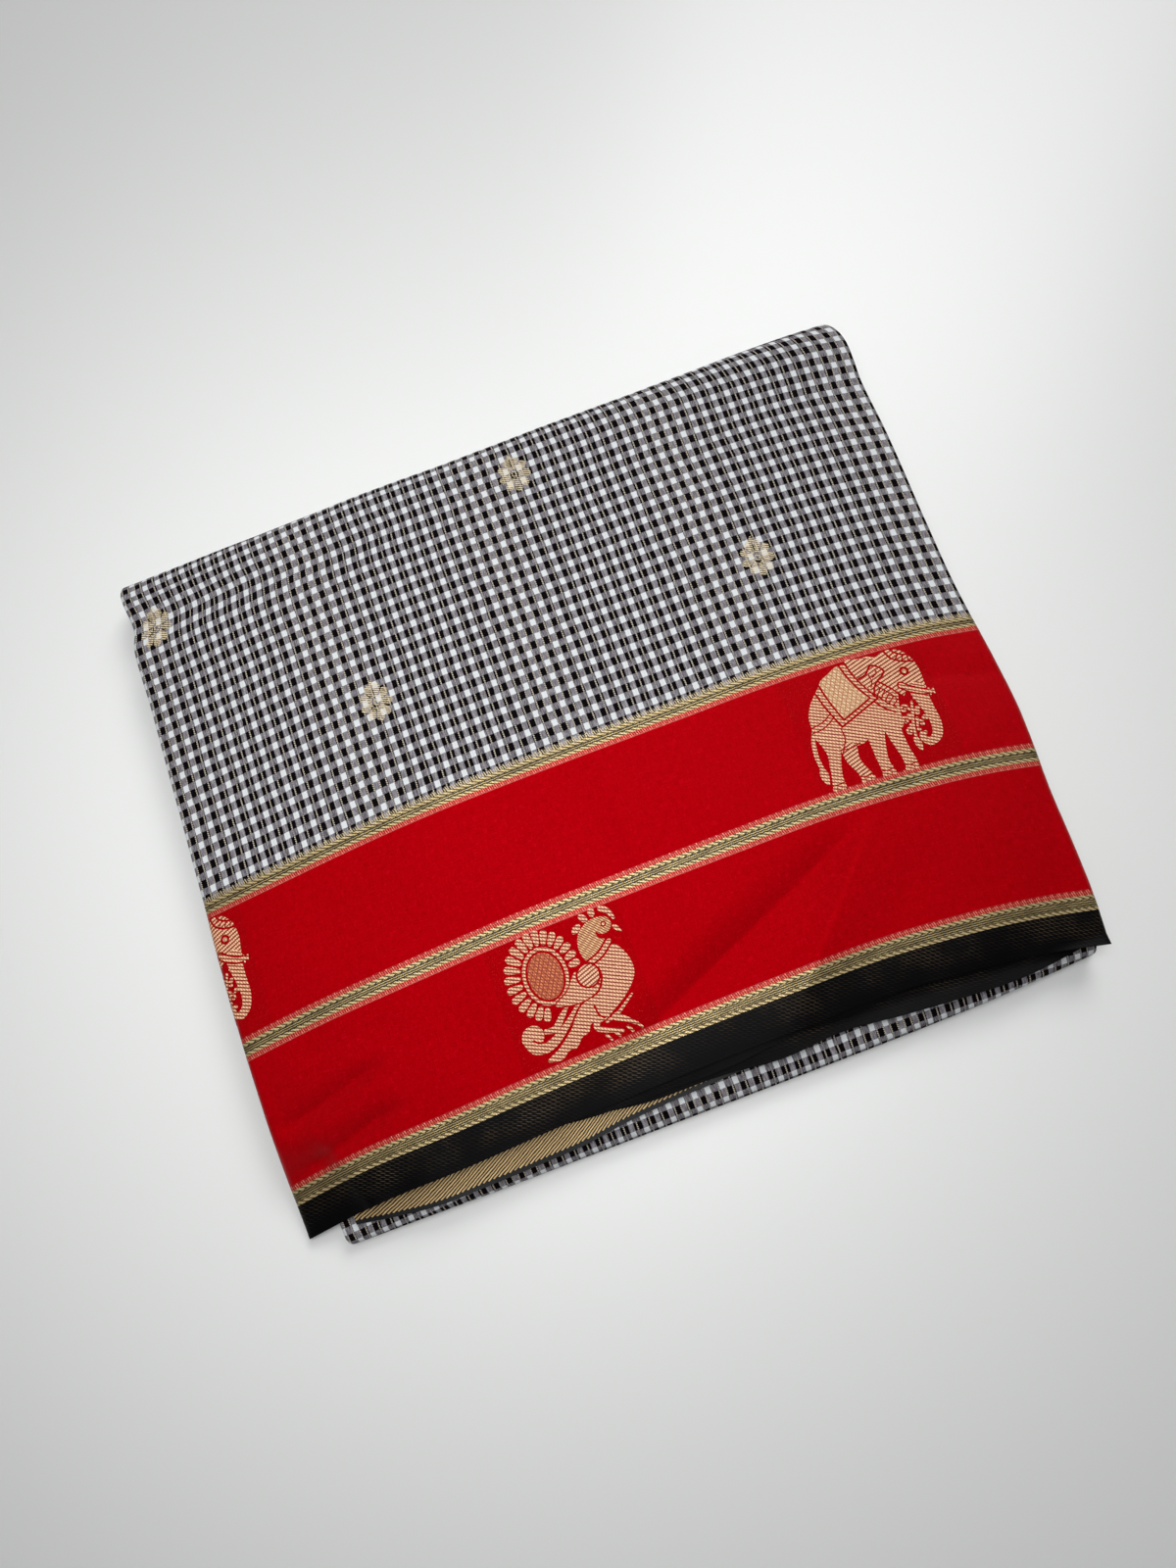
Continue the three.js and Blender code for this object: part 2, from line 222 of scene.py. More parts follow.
# Creases of the top leaf. Each runs from (x0, y0) to (x1, y1), falls by depth to a sharp
# line, and fades over the widths on its left and right. A negative depth is a ridge.
CREASES = table(
    "x0 y0 x1 y1 depth left right",
    (-14, -112, 90, -67, 3.0, 15, 26),
    (44, -124, 97, -67, -2.3, 16, 26),
    (44, -133, 47, -112, -0.6, 10, 20),
    (-162, -117, -122, -107, 2.6, 9, 6),
    (-164, -99, -124, -89, 2.4, 9, 8),
    (-150, -76, -112, -74, 0.4, 9, 9),
    (4, -8, 4, -46, -0.5, 10, 12),
    (56, -136, 176, -140, 2.6, 24, 10),
    (-22, -96, -16, -62, 0.3, 8, 14),
    (128, -14, 170, -26, 0.5, 12, 10),
    (140, -60, 172, -50, 0.3, 12, 12),
    (-40, 118, 34, 128, 0.3, 14, 16),
    (70, 96, 120, 130, 0.35, 16, 12),
    (-172, 108, -128, 92, 0.4, 12, 14),
    (-120, 30, -66, 12, 0.25, 16, 18),
    (108, 40, 168, 18, 0.25, 14, 16),
)
CREASE_FADE = 0.22


# The near left corner has no layers under it, so it bends down along a soft fold
CORNER_FOLD_X = -153.0
CORNER_FOLD_Y = -130.0
CORNER_FOLD_TURN = math.radians(204)
CORNER_FOLD_SLOPE = 0.28
CORNER_FOLD_SOFTNESS = 0.7
CORNER_FOLD_SOFTER = 7.0
CORNER_SOFTENS_OVER = 40.0
CORNER_FADES_OVER = 70.0
CORNER_SPREAD = 0.36
# Along its upper side it breaks over a short sharp line, with a steep step beyond it
CORNER_BREAK_X = -146.5
CORNER_BREAK_Y = -127.0
CORNER_BREAK_TURN = math.radians(199)
CORNER_BREAK_DROP = 4.2
CORNER_BREAK_WIDTH = 8.5
CORNER_BREAK_END_Y = -121.0
CORNER_BREAK_FADES_OVER = 18.0


def crease_drop(x, y):
    drop = np.zeros(np.broadcast(x, y).shape)
    for x0, y0, x1, y1, depth, left, right in zip(*CREASES.values()):
        length = math.hypot(x1 - x0, y1 - y0)
        ux, uy = (x1 - x0) / length, (y1 - y0) / length
        run = ((x - x0) * ux + (y - y0) * uy) / length
        side = (x - x0) * uy - (y - y0) * ux
        share = np.clip(np.abs(side) / np.where(side < 0, left, right), 0, 1)
        ends = ease((run + CREASE_FADE) / (2 * CREASE_FADE))
        ends = ends * (1 - ease((run - 1 + CREASE_FADE) / (2 * CREASE_FADE)))
        drop = drop + depth * (1 - share) ** 2 * ends
    return drop


def corner_drop(x, y):
    out_x, out_y = math.cos(CORNER_FOLD_TURN), math.sin(CORNER_FOLD_TURN)
    beyond = (x - CORNER_FOLD_X) * out_x + (y - CORNER_FOLD_Y) * out_y
    above = y - CORNER_FOLD_Y
    soft = CORNER_FOLD_SOFTNESS + CORNER_FOLD_SOFTER * ease(above / CORNER_SOFTENS_OVER)
    drop = CORNER_FOLD_SLOPE * soft * np.logaddexp(0, np.clip(beyond / soft, -30, 30))
    drop = drop * (1 - ease(above / CORNER_FADES_OVER))
    past_x = (x - CORNER_BREAK_X) * math.cos(CORNER_BREAK_TURN)
    past = past_x + (y - CORNER_BREAK_Y) * math.sin(CORNER_BREAK_TURN)
    left = 1 - np.clip(past / CORNER_BREAK_WIDTH, 0, 1)
    fading = 1 - ease((y - CORNER_BREAK_END_Y) / CORNER_BREAK_FADES_OVER)
    return drop + CORNER_BREAK_DROP * (1 - left**2) * fading


def settle(x, y, z):
    """Takes points of the flat-pressed packet to their places in the packet as it lies."""
    x, y, z = np.broadcast_arrays(x, y, z)
    moved_y = y + slip(x, y, z)
    moved_x = x * width_scale(x, moved_y, z)
    corner = corner_drop(moved_x, moved_y) * top_share(z)
    lift = (waves(moved_x, moved_y) - crease_drop(moved_x, moved_y)) * top_share(z)
    moved_z = z * fullness(moved_x, moved_y) + lift - corner
    return np.stack([moved_x - CORNER_SPREAD * corner, moved_y, moved_z], -1)


# The path of the outer face: runs and turns, each with the along value where it starts
RUN_LENGTH = FAR_FOLD_Y - NEAR_SELVEDGE_Y
FAR_TURN_LENGTH = math.pi * MIDDLE_Z
UNDER_LENGTH = FAR_FOLD_Y - NEAR_FOLD_Y
NEAR_TURN_LENGTH = math.pi * STRIP
FAR_TURN_AT = RUN_LENGTH
UNDER_AT = FAR_TURN_AT + FAR_TURN_LENGTH
NEAR_TURN_AT = UNDER_AT + UNDER_LENGTH
TUCK_AT = NEAR_TURN_AT + NEAR_TURN_LENGTH


def path(along):
    """Y, Z and the outward look of the outer face at each along."""
    far = np.clip((along - FAR_TURN_AT) / FAR_TURN_LENGTH, 0, 1) * math.pi
    near = np.clip((along - NEAR_TURN_AT) / NEAR_TURN_LENGTH, 0, 1) * math.pi
    angle = math.pi / 2 - far - near
    look_y, look_z = np.cos(angle), np.sin(angle)
    on_top, below = along < FAR_TURN_AT, along < UNDER_AT
    on_floor, rounding = along < NEAR_TURN_AT, along < TUCK_AT
    y = np.select(
        [on_top, below, on_floor, rounding],
        [
            NEAR_SELVEDGE_Y + along,
            FAR_FOLD_Y + MIDDLE_Z * look_y,
            FAR_FOLD_Y - (along - UNDER_AT),
            NEAR_FOLD_Y + STRIP * look_y,
        ],
        NEAR_FOLD_Y + (along - TUCK_AT),
    )
    z = np.select(
        [on_top, below, on_floor, rounding],
        [
            np.full_like(y, TOP_Z),
            MIDDLE_Z + MIDDLE_Z * look_z,
            np.zeros_like(y),
            STRIP + STRIP * look_z,
        ],
        MIDDLE_Z,
    )
    return y, z, look_y, look_z


def leaf_points(across, along, depth=0.0):
    """Places of the leaf's points, at a depth below its outer face."""
    y, z, look_y, look_z = path(along)
    beyond = np.maximum(np.abs(across) - FLAT_HALF, 0)
    angle = beyond / NOSE_RADIUS
    radius = NOSE_RADIUS - depth
    x = np.sign(across) * (np.minimum(np.abs(across), FLAT_HALF) + radius * np.sin(angle))
    inward = NOSE_RADIUS - radius * np.cos(angle)
    return settle(x, y - inward * look_y, z - inward * look_z)


def cloth_along(across, along):
    """Along as woven: past the border the rows keep their slip while the fold runs straight."""
    y, z, _, _ = path(along)
    x = np.clip(across, -HALF_WIDTH, HALF_WIDTH)
    past_border = ease((along - RED_FAR_AT) / (BODY_AT - RED_FAR_AT))
    kept = np.where(along < FAR_TURN_AT, slip(x, y, z), 0)
    return along + (kept - border_slip(x)) * past_border


class Value:
    """A number or colour in a shader. Numbers can be added, subtracted and multiplied."""

    def __init__(self, shader, socket):
        self.shader = shader
        self.socket = socket

    def __add__(self, other):
        return self.shader.math("ADD", self, other)

    def __sub__(self, other):
        return self.shader.math("SUBTRACT", self, other)

    def __mul__(self, other):
        return self.shader.math("MULTIPLY", self, other)


class Shader:
    """A material and short ways to add its nodes."""

    def __init__(self, name):
        self.material = bpy.data.materials.new(name)
        self.material.use_nodes = True
        self.nodes = self.material.node_tree.nodes
        self.links = self.material.node_tree.links
        self.surface = self.nodes["Principled BSDF"]

    def plug(self, node, **values):
        """Links or sets inputs by name, with a space for each underscore."""
        for name, value in values.items():
            socket = node.inputs[name.replace("_", " ")]
            if isinstance(value, Value):
                self.links.new(value.socket, socket)
            elif value is not None:
                socket.default_value = value

    def add(self, kind, values, **settings):
        """A node with its first inputs linked or set, given as its first output."""
        node = self.nodes.new("ShaderNode" + kind)
        for key, setting in settings.items():
            setattr(node, key, setting)
        for socket, value in zip(node.inputs, values):
            if isinstance(value, Value):
                self.links.new(value.socket, socket)
            else:
                socket.default_value = value
        return Value(self, node.outputs[0])

    def math(self, operation, *values):
        return self.add("Math", values, operation=operation)

    def smooth(self, value, low, high, to_low=0.0, to_high=1.0):
        """A soft step from to_low at low to to_high at high."""
        values = (value, low, high, to_low, to_high)
        return self.add("MapRange", values, interpolation_type="SMOOTHSTEP")

    def between(self, value, low, high, soft):
        """1 where value lies between low and high, with soft edges."""
        rises = self.smooth(value, low - soft, low + soft)
        return rises - self.smooth(value, high - soft, high + soft)

    def cloth(self):
        """Across and along of the cloth, in millimetres."""
        place = self.nodes.new("ShaderNodeAttribute")
        place.attribute_name = "cloth"
        split = self.nodes.new("ShaderNodeSeparateXYZ")
        self.links.new(place.outputs["Vector"], split.inputs[0])
        return Value(self, split.outputs[0]), Value(self, split.outputs[1])

    def noise(self, across, along, scale, detail=2.0, roughness=0.5, stretch=(1, 1)):
        place = self.add("CombineXYZ", (across * stretch[0], along * stretch[1]))
        node = self.nodes.new("ShaderNodeTexNoise")
        self.plug(node, Vector=place, Scale=scale, Detail=detail, Roughness=roughness)
        return Value(self, node.outputs["Fac"])

    def wave(self, value, period, start=0.0):
        """A smooth wave from 0 to 1 that repeats each period."""
        return self.math("SINE", value * (2 * math.pi / period) + start) * 0.5 + 0.5

    def mix(self, share, a, b):
        """Colour a where share is 0 and colour b where it is 1."""
        node = self.nodes.new("ShaderNodeMix")
        node.data_type = "RGBA"
        for index, value in ((0, share), (6, a), (7, b)):
            if isinstance(value, Value):
                self.links.new(value.socket, node.inputs[index])
            else:
                node.inputs[index].default_value = value
        return Value(self, node.outputs[2])

    def finish(self, color, roughness, gloss, height=None, depth=0.05, bump=0.6, metal=None):
        self.plug(self.surface, Base_Color=color, Metallic=metal, Roughness=roughness,
                  Specular_IOR_Level=gloss)
        if height is not None:
            node = self.nodes.new("ShaderNodeBump")
            self.plug(node, Strength=bump, Distance=depth * MM, Height=height)
            self.plug(self.surface, Normal=Value(self, node.outputs[0]))
        return self.material


def rgb(red, green, blue):
    """A linear colour from its 0 to 255 display values."""
    def linear(value):
        part = value / 255
        return part / 12.92 if part <= 0.04045 else ((part + 0.055) / 1.055) ** 2.4
    return (linear(red), linear(green), linear(blue), 1.0)


CHECK_ACROSS = 6.07
CHECK_ALONG = 6.35
YARN_ACROSS = 2.93
YARN_DOT = 0.86
WHITE = rgb(222, 226, 228)
GREY_ALONG = rgb(82, 77, 83)
GREY_ACROSS = rgb(103, 98, 104)
BLACK = rgb(6, 3, 5)
RED = rgb(163, 0, 8)
RED_DARK = rgb(130, 0, 3)
RED_LIGHT = rgb(198, 4, 28)


def check_pattern(shader, across, along):
    """Colour of the checked body. Pale gold yarns run between the rows of squares, a little
    closer than the squares, so they drift from one side of the black ones to the other."""
    across = across + (shader.noise(across, along, 0.06) - 0.5)
    ragged = shader.noise(across, along, 1.1) * 0.5 - 0.25
    dark_column = shader.smooth(shader.wave(across + ragged, CHECK_ACROSS), 0.28, 0.38)
    dark_row = shader.smooth(shader.wave(along + ragged, CHECK_ALONG), 0.38, 0.47)
    in_row = shader.mix(dark_column, GREY_ACROSS, BLACK)
    off_row = shader.mix(dark_column, WHITE, GREY_ALONG)
    color = shader.mix(dark_row, off_row, in_row)
    streaks = shader.noise(across, along, 1.0, 2.0, 0.6, stretch=(2.4, 0.35))
    one_dark = shader.math("ABSOLUTE", dark_row - dark_column)
    streak = shader.smooth(streaks, 0.35, 0.7, 0.0, 0.55) * one_dark
    color = shader.mix(streak, color, rgb(186, 183, 188))
    line = shader.smooth(shader.wave(across, YARN_ACROSS, math.pi * 0.6), 0.86, 0.97)
    dot = shader.smooth(shader.wave(across * 1.3 + along, YARN_DOT), 0.4, 0.7)
    on_black = dark_row * dark_column
    yarn = shader.mix(on_black, rgb(206, 200, 196), rgb(234, 222, 200))
    return shader.mix(line * dot * (on_black * 0.5 + 0.5), color, yarn)


def weave_height(shader, across, along, pitch):
    return shader.wave(across, pitch) * shader.wave(along, pitch)


def checked_material():
    shader = Shader("checked_cotton")
    across, along = shader.cloth()
    color = check_pattern(shader, across, along)
    grain = shader.noise(across, along, 3.0, 3.0, 0.7, stretch=(1, 0.5))
    color = shader.mix(shader.smooth(grain, 0.45, 0.75) * 0.15, color, rgb(70, 64, 70))
    return shader.finish(color, 0.8, 0.03, weave_height(shader, across, along, 0.42))


def red_material(name, motif_columns):
    """Red satin with the checks showing faintly through, and the ends of the gold weft as
    small specks over the columns that a motif is woven in."""
    shader = Shader(name)
    across, along = shader.cloth()
    column = shader.smooth(shader.wave(across, CHECK_ACROSS), 0.4, 0.6)
    row = shader.smooth(shader.wave(along, CHECK_ALONG), 0.4, 0.6)
    color = shader.mix((column + row) * 0.05, RED, RED_DARK)
    warp = shader.noise(across, along, 1.0, 3.0, 0.6, stretch=(1.5, 0.3))
    weft = shader.noise(across, along, 1.0, 3.0, 0.6, stretch=(0.35, 1.6))
    thread = warp + weft
    color = shader.mix(shader.smooth(thread, 0.95, 0.7, 0.0, 0.65), color, RED_DARK)
    color = shader.mix(shader.smooth(thread, 1.02, 1.35, 0.0, 0.6), color, RED_LIGHT)
    grains = shader.noise(across, along, 2.6, 2.0, 0.6, stretch=(1, 0.6))
    specks = shader.smooth(grains, 0.6, 0.8)
    for low, high in motif_columns:
        woven = shader.between(across, low, high, 0.4)
        color = shader.mix(woven * 0.3, color, RED_DARK)
        color = shader.mix(woven * specks * 0.75, color, rgb(236, 74, 60))
    shader.plug(shader.surface, Specular_Tint=(1.0, 0.0, 0.01, 1.0))
    return shader.finish(color, 0.42, 0.6, weave_height(shader, across, along, 0.3) + thread)


def black_border_material():
    """Black cloth with faint gold stitches that slant down to the right and fade out
    towards the selvedge."""
    shader = Shader("black_border_cloth")
    across, along = shader.cloth()
    slant = across * 0.42 + along + shader.noise(across, along, 0.5) * 0.5
    rib = shader.smooth(shader.wave(slant, 0.82), 0.45, 0.85)
    dash = shader.smooth(shader.wave(along + across, 2.0), 0.3, 0.6)
    patches = shader.noise(across, along, 0.035, 3.0, 0.6)
    grains = shader.noise(across, along, 0.8)
    away = shader.smooth(along, 2.0, 8.5, 0.15, 1.0)
    gold = shader.smooth(patches, 0.42, 0.68, 0.05, 0.42) * rib * dash * grains * away
    color = shader.mix(gold, rgb(2, 2, 4), rgb(176, 148, 108))
    height = weave_height(shader, across, along, 0.35) + gold
    return shader.finish(color, 0.45, 0.07, height, metal=gold * 1.4)


GOLD_GAP = rgb(20, 14, 6)
GOLD_DARK = rgb(90, 72, 38)
GOLD = rgb(190, 168, 114)
GOLD_LIGHT = rgb(212, 190, 140)
COMB_ON_RED = rgb(240, 128, 106)
COMB_TIP = rgb(246, 160, 140)
COMB_ON_CHECKS = rgb(214, 194, 154)
LINE_PITCH = 0.86
TICK_PITCH = 0.955
GROUP_PITCH = 3 * TICK_PITCH
COMB_LENGTH = 2.2
TWIST_WIDTH = 1.35


def zari_material(name, start, width, near_ground, far_ground):
    """A gold band: thin rows, a cord of slanting stitches on each side of them, and combs of
    short ticks over the ground, which is RED or the checks. A side with no ground has no
    comb. Every third stitch and tick is stronger, and thin thread ends the lower comb."""
    shader = Shader(name)
    across, along = shader.cloth()
    up = along - start
    wobble = shader.noise(across, along, 0.7)
    gold_from = COMB_LENGTH if near_ground else 0.0
    gold_to = width - (COMB_LENGTH if far_ground else 0.0)
    sheared = up * 0.7 + across
    rows = wobble * 0.2 + (up + shader.wave(sheared, GROUP_PITCH) * 0.12)
    crossing = shader.smooth(shader.wave(sheared, TICK_PITCH), 0.0, 0.4, 0.72, 1.0)
    gold_line = shader.smooth(shader.wave(rows, LINE_PITCH), 0.38, 0.66) * crossing
    # Painted shade: noise patches darken the gold towards GOLD_DARK, standing in for the dull look the
    # metal thread takes where the band tilts away from the light.
    patches = shader.noise(across, along, 0.6, stretch=(0.25, 0.6))
    painted_shade_share = shader.smooth(patches, 0.35, 0.65, 0.0, 0.5)
    color = shader.mix(gold_line, GOLD_GAP, shader.mix(painted_shade_share, GOLD, GOLD_DARK))
    height = gold_line
    cord = shader.smooth(shader.wave(up * 2.0 + across, GROUP_PITCH), 0.12, 0.5) * crossing
    twisted = shader.mix(cord, GOLD_DARK, GOLD_LIGHT)
    # Beside each cord a strip of GOLD_GAP: partly the dark ground between the threads, partly painted
    # shadow of the raised cord.
    gap_wave = shader.smooth(shader.wave(across, GROUP_PITCH, 1.2), 0.45, 0.8, 0.25, 0.95)
    ripple = shader.wave(across, GROUP_PITCH) * 0.4 - 0.2
    for edge, inward in ((gold_from, 1.0), (gold_to, -1.0)):
        within = (up - edge) * inward + ripple
        gap = shader.between(within, TWIST_WIDTH - 0.1, TWIST_WIDTH + 0.42, 0.15)
        color = shader.mix(gap * gap_wave, color, GOLD_GAP)
        on_cord = shader.between(within, -1.0, TWIST_WIDTH, 0.12)
        color = shader.mix(on_cord, color, twisted)
        height = height + on_cord * cord
    group = shader.wave(across, GROUP_PITCH, 0.6)
    ticks = shader.smooth(shader.wave(up * 0.3 + across, TICK_PITCH), 0.35, 0.75)
    ticks = ticks * (group * 0.5 + 0.5)
    for ground, root, outward in ((near_ground, gold_from, -1.0), (far_ground, gold_to, 1.0)):
        if not ground:
            continue
        beyond = (up - root) * outward
        ragged = group * -0.5 + (wobble * -0.8 + beyond) + 0.65
        tick = ticks * shader.smooth(ragged, COMB_LENGTH - 0.75, COMB_LENGTH - 0.25, 1.0, 0.0)
        if ground == RED:
            tip_share = shader.smooth(beyond, COMB_LENGTH * 0.4, COMB_LENGTH)
            comb = shader.mix(tip_share, COMB_ON_RED, COMB_TIP)
        else:
            ground, comb = check_pattern(shader, across, along), COMB_ON_CHECKS
        if outward < 0:
            end_row = shader.between(beyond, COMB_LENGTH - 0.5, COMB_LENGTH - 0.2, 0.1)
            tick = shader.math("MAXIMUM", tick, end_row * 0.3)
        combed = shader.mix(tick, ground, comb)
        color = shader.mix(shader.smooth(beyond, -0.12, 0.12), color, combed)
    metal = shader.math("MINIMUM", height, 1.0) * 0.6
    return shader.finish(color, 0.46, 0.3, height, 0.14, 0.8, metal)


HATCH_PITCH = 1.5
# How the gold stitches of each fill run: how much along they fall for each across, their
# pitch, the colours of gap, thread and bright thread
STITCHES = {
    "falling": (0.5, HATCH_PITCH, rgb(132, 36, 26), rgb(238, 168, 124), rgb(255, 228, 188)),
    "lattice": (0.5, HATCH_PITCH, rgb(172, 100, 68), rgb(228, 188, 140), rgb(253, 234, 194)),
    "steep": (1.05, 1.3, rgb(128, 54, 32), rgb(224, 164, 112), rgb(250, 214, 160)),
    "rising": (-0.32, HATCH_PITCH, rgb(126, 36, 28), rgb(238, 168, 124), rgb(255, 228, 188)),
    "disc": (0.5, 1.3, rgb(128, 22, 14), rgb(206, 104, 58), rgb(236, 156, 100)),
}


def stitch_material(fill):
    """Gold weft laid over the cloth in slanting stitches, or in a lattice of short ones."""
    fall, pitch, gap, thread, bright = STITCHES[fill]
    shader = Shader("gold_" + fill)
    across, along = shader.cloth()
    slant = across * fall + along + shader.noise(across, along, 0.9) * 0.5
    rows = shader.wave(slant, pitch)
    row = shader.smooth(rows, 0.15, 0.48)
    breaks = shader.wave(along * 0.4 + across, TICK_PITCH)
    if fill in ("lattice", "disc"):
        rising = shader.wave(along * 0.62 + across, 2.1)
        falling = shader.wave(along * -0.62 + across, 2.1)
        diamond = shader.smooth(shader.math("MINIMUM", rising, falling), 0.02, 0.2, 0.2, 1.0)
        row = (row * 0.45 + 0.55) * diamond
    gold = row * shader.smooth(breaks, 0.0, 0.3, 0.55, 1.0)
    speckled = shader.smooth(breaks, 0.4, 0.9) * shader.smooth(rows, 0.4, 0.9)
    color = shader.mix(gold, gap, shader.mix(speckled, thread, bright))
    return shader.finish(color, 0.5, 0.25, gold, 0.14, 0.7)


def buti_material():
    """Gold weft over the checks: olive over black squares and cream over white ones."""
    shader = Shader("flower_buti")
    across, along = shader.cloth()
    under = check_pattern(shader, across, along)
    slant = across * 0.5 + along + shader.noise(across, along, 0.8) * 0.8
    rows = shader.wave(slant, 1.0)
    patches = shader.smooth(shader.noise(across, along, 0.45, 3.0, 0.7), 0.35, 0.6, 0.5, 0.95)
    cover = shader.smooth(rows, 0.15, 0.75, 0.25, 1.0) * patches
    gold = shader.mix(shader.smooth(rows, 0.4, 1.0), rgb(150, 122, 70), rgb(246, 230, 194))
    return shader.finish(shader.mix(cover, under, gold), 0.55, 0.3, cover, 0.1, 0.6)


RIB_RISE = 0.53
RIB_PITCH = 1.2


def twill_material():
    """The reverse of the other border: slanting gold ribs on black, black at the selvedge."""
    shader = Shader("twill_reverse")
    across, along = shader.cloth()
    slant = across * -RIB_RISE + along + shader.noise(across, along, 0.35) * 0.7
    rib = shader.smooth(shader.wave(slant, RIB_PITCH), 0.3, 0.66)
    ply = shader.wave(along * 0.9 + across, 0.5)
    thread = shader.mix(ply * 0.6, rgb(184, 144, 84), rgb(250, 220, 160))
    thread = shader.mix(shader.wave(slant, RIB_PITCH * 2) * 0.4, thread, rgb(252, 226, 176))
    color = shader.mix(rib, rgb(22, 14, 8), thread)
    ragged = shader.wave(across, RIB_PITCH / RIB_RISE) * -0.7 + along
    selvedge = shader.smooth(ragged, 1.3, 1.6)
    color = shader.mix(selvedge, rgb(12, 11, 13), color)
    gold = rib * selvedge
    return shader.finish(color, 0.48, 0.3, gold, 0.18, 0.9, gold * 0.3)


def curve(points, closed=False, pieces=6):
    """Points along a smooth curve through the given ones."""
    p = np.array(points, float)
    count = len(p)
    spans = count if closed else count - 1
    if closed:
        before, after = np.roll(p, 1, 0), np.roll(p, -1, 0)
        after_next = np.roll(p, -2, 0)
    else:
        padded = np.concatenate([p[:1] * 2 - p[1:2], p, p[-1:] * 2 - p[-2:-1]])
        before, p, after, after_next = padded[:-3], padded[1:-2], padded[2:-1], padded[3:]
    part = np.linspace(0, 1, pieces, endpoint=False)[None, :, None]
    b, s, e, n = (a[:spans, None, :] for a in (before, p, after, after_next))
    bends = (
        2 * s
        + (e - b) * part
        + (2 * b - 5 * s + 4 * e - n) * part**2
        + (3 * s - b - 3 * e + n) * part**3
    ) / 2
    line = bends.reshape(-1, p.shape[1])
    return line if closed else np.concatenate([line, after[-1:]])


def blob(*points):
    return curve(points, closed=True)


def ellipse(x, y, half_width, half_height, turn=0.0, count=24):
    angle = np.linspace(0, 2 * math.pi, count, endpoint=False)
    along_x, along_y = half_width * np.cos(angle), half_height * np.sin(angle)
    turn = math.radians(turn)
    return np.stack(
        [
            x + along_x * math.cos(turn) - along_y * math.sin(turn),
            y + along_x * math.sin(turn) + along_y * math.cos(turn),
        ],
        -1,
    )


def band(*rows):
    """A band with round ends along a smooth curve. Each row is x, y and the width there."""
    line = curve(rows)
    centre, half = line[:, :2], line[:, 2:] / 2
    ahead = np.gradient(centre, axis=0)
    ahead /= np.maximum(np.hypot(*ahead.T)[:, None], 1e-9)
    side = np.stack([-ahead[:, 1], ahead[:, 0]], -1)
    turn = np.linspace(0, math.pi, 7)[1:-1, None]
    start = centre[0] + half[0] * (np.cos(turn) * -side[0] - np.sin(turn) * ahead[0])
    end = centre[-1] + half[-1] * (np.cos(turn) * side[-1] + np.sin(turn) * ahead[-1])
    return np.concatenate([centre + half * side, end, (centre - half * side)[::-1], start])


def line(width, *points):
    return band(*((x, y, width) for x, y in points))


def curl(x, y, radius, start, turns, width):
    """A small spiral that winds in to its centre."""
    share = np.linspace(0, 1, 9)
    angle = math.radians(start) + share * turns * 2 * math.pi
    reach = radius * (1 - 0.85 * share)
    rows = zip(x + reach * np.cos(angle), y + reach * np.sin(angle), width * (1 - 0.3 * share))
    return band(*rows)


def steps(start, end, count):
    """Evenly spaced points from start to end."""
    return [tuple(p) for p in np.linspace(start, end, count)]


# Fills of a motif: GROUND leaves the cloth bare, the others number the STITCHES
GROUND, HATCH, LATTICE, STEEP, RISING, DISC = -1, 0, 1, 2, 3, 4
LINE = 0.82
THIN_LINE = 0.55


class Motif(list):
    """The shapes of a motif as (fill, outline), each over the ones before it."""

    def add(self, fill, *outlines):
        self.extend((fill, outline) for outline in outlines)

    def cut(self, width, *points):
        self.add(GROUND, line(width, *points))


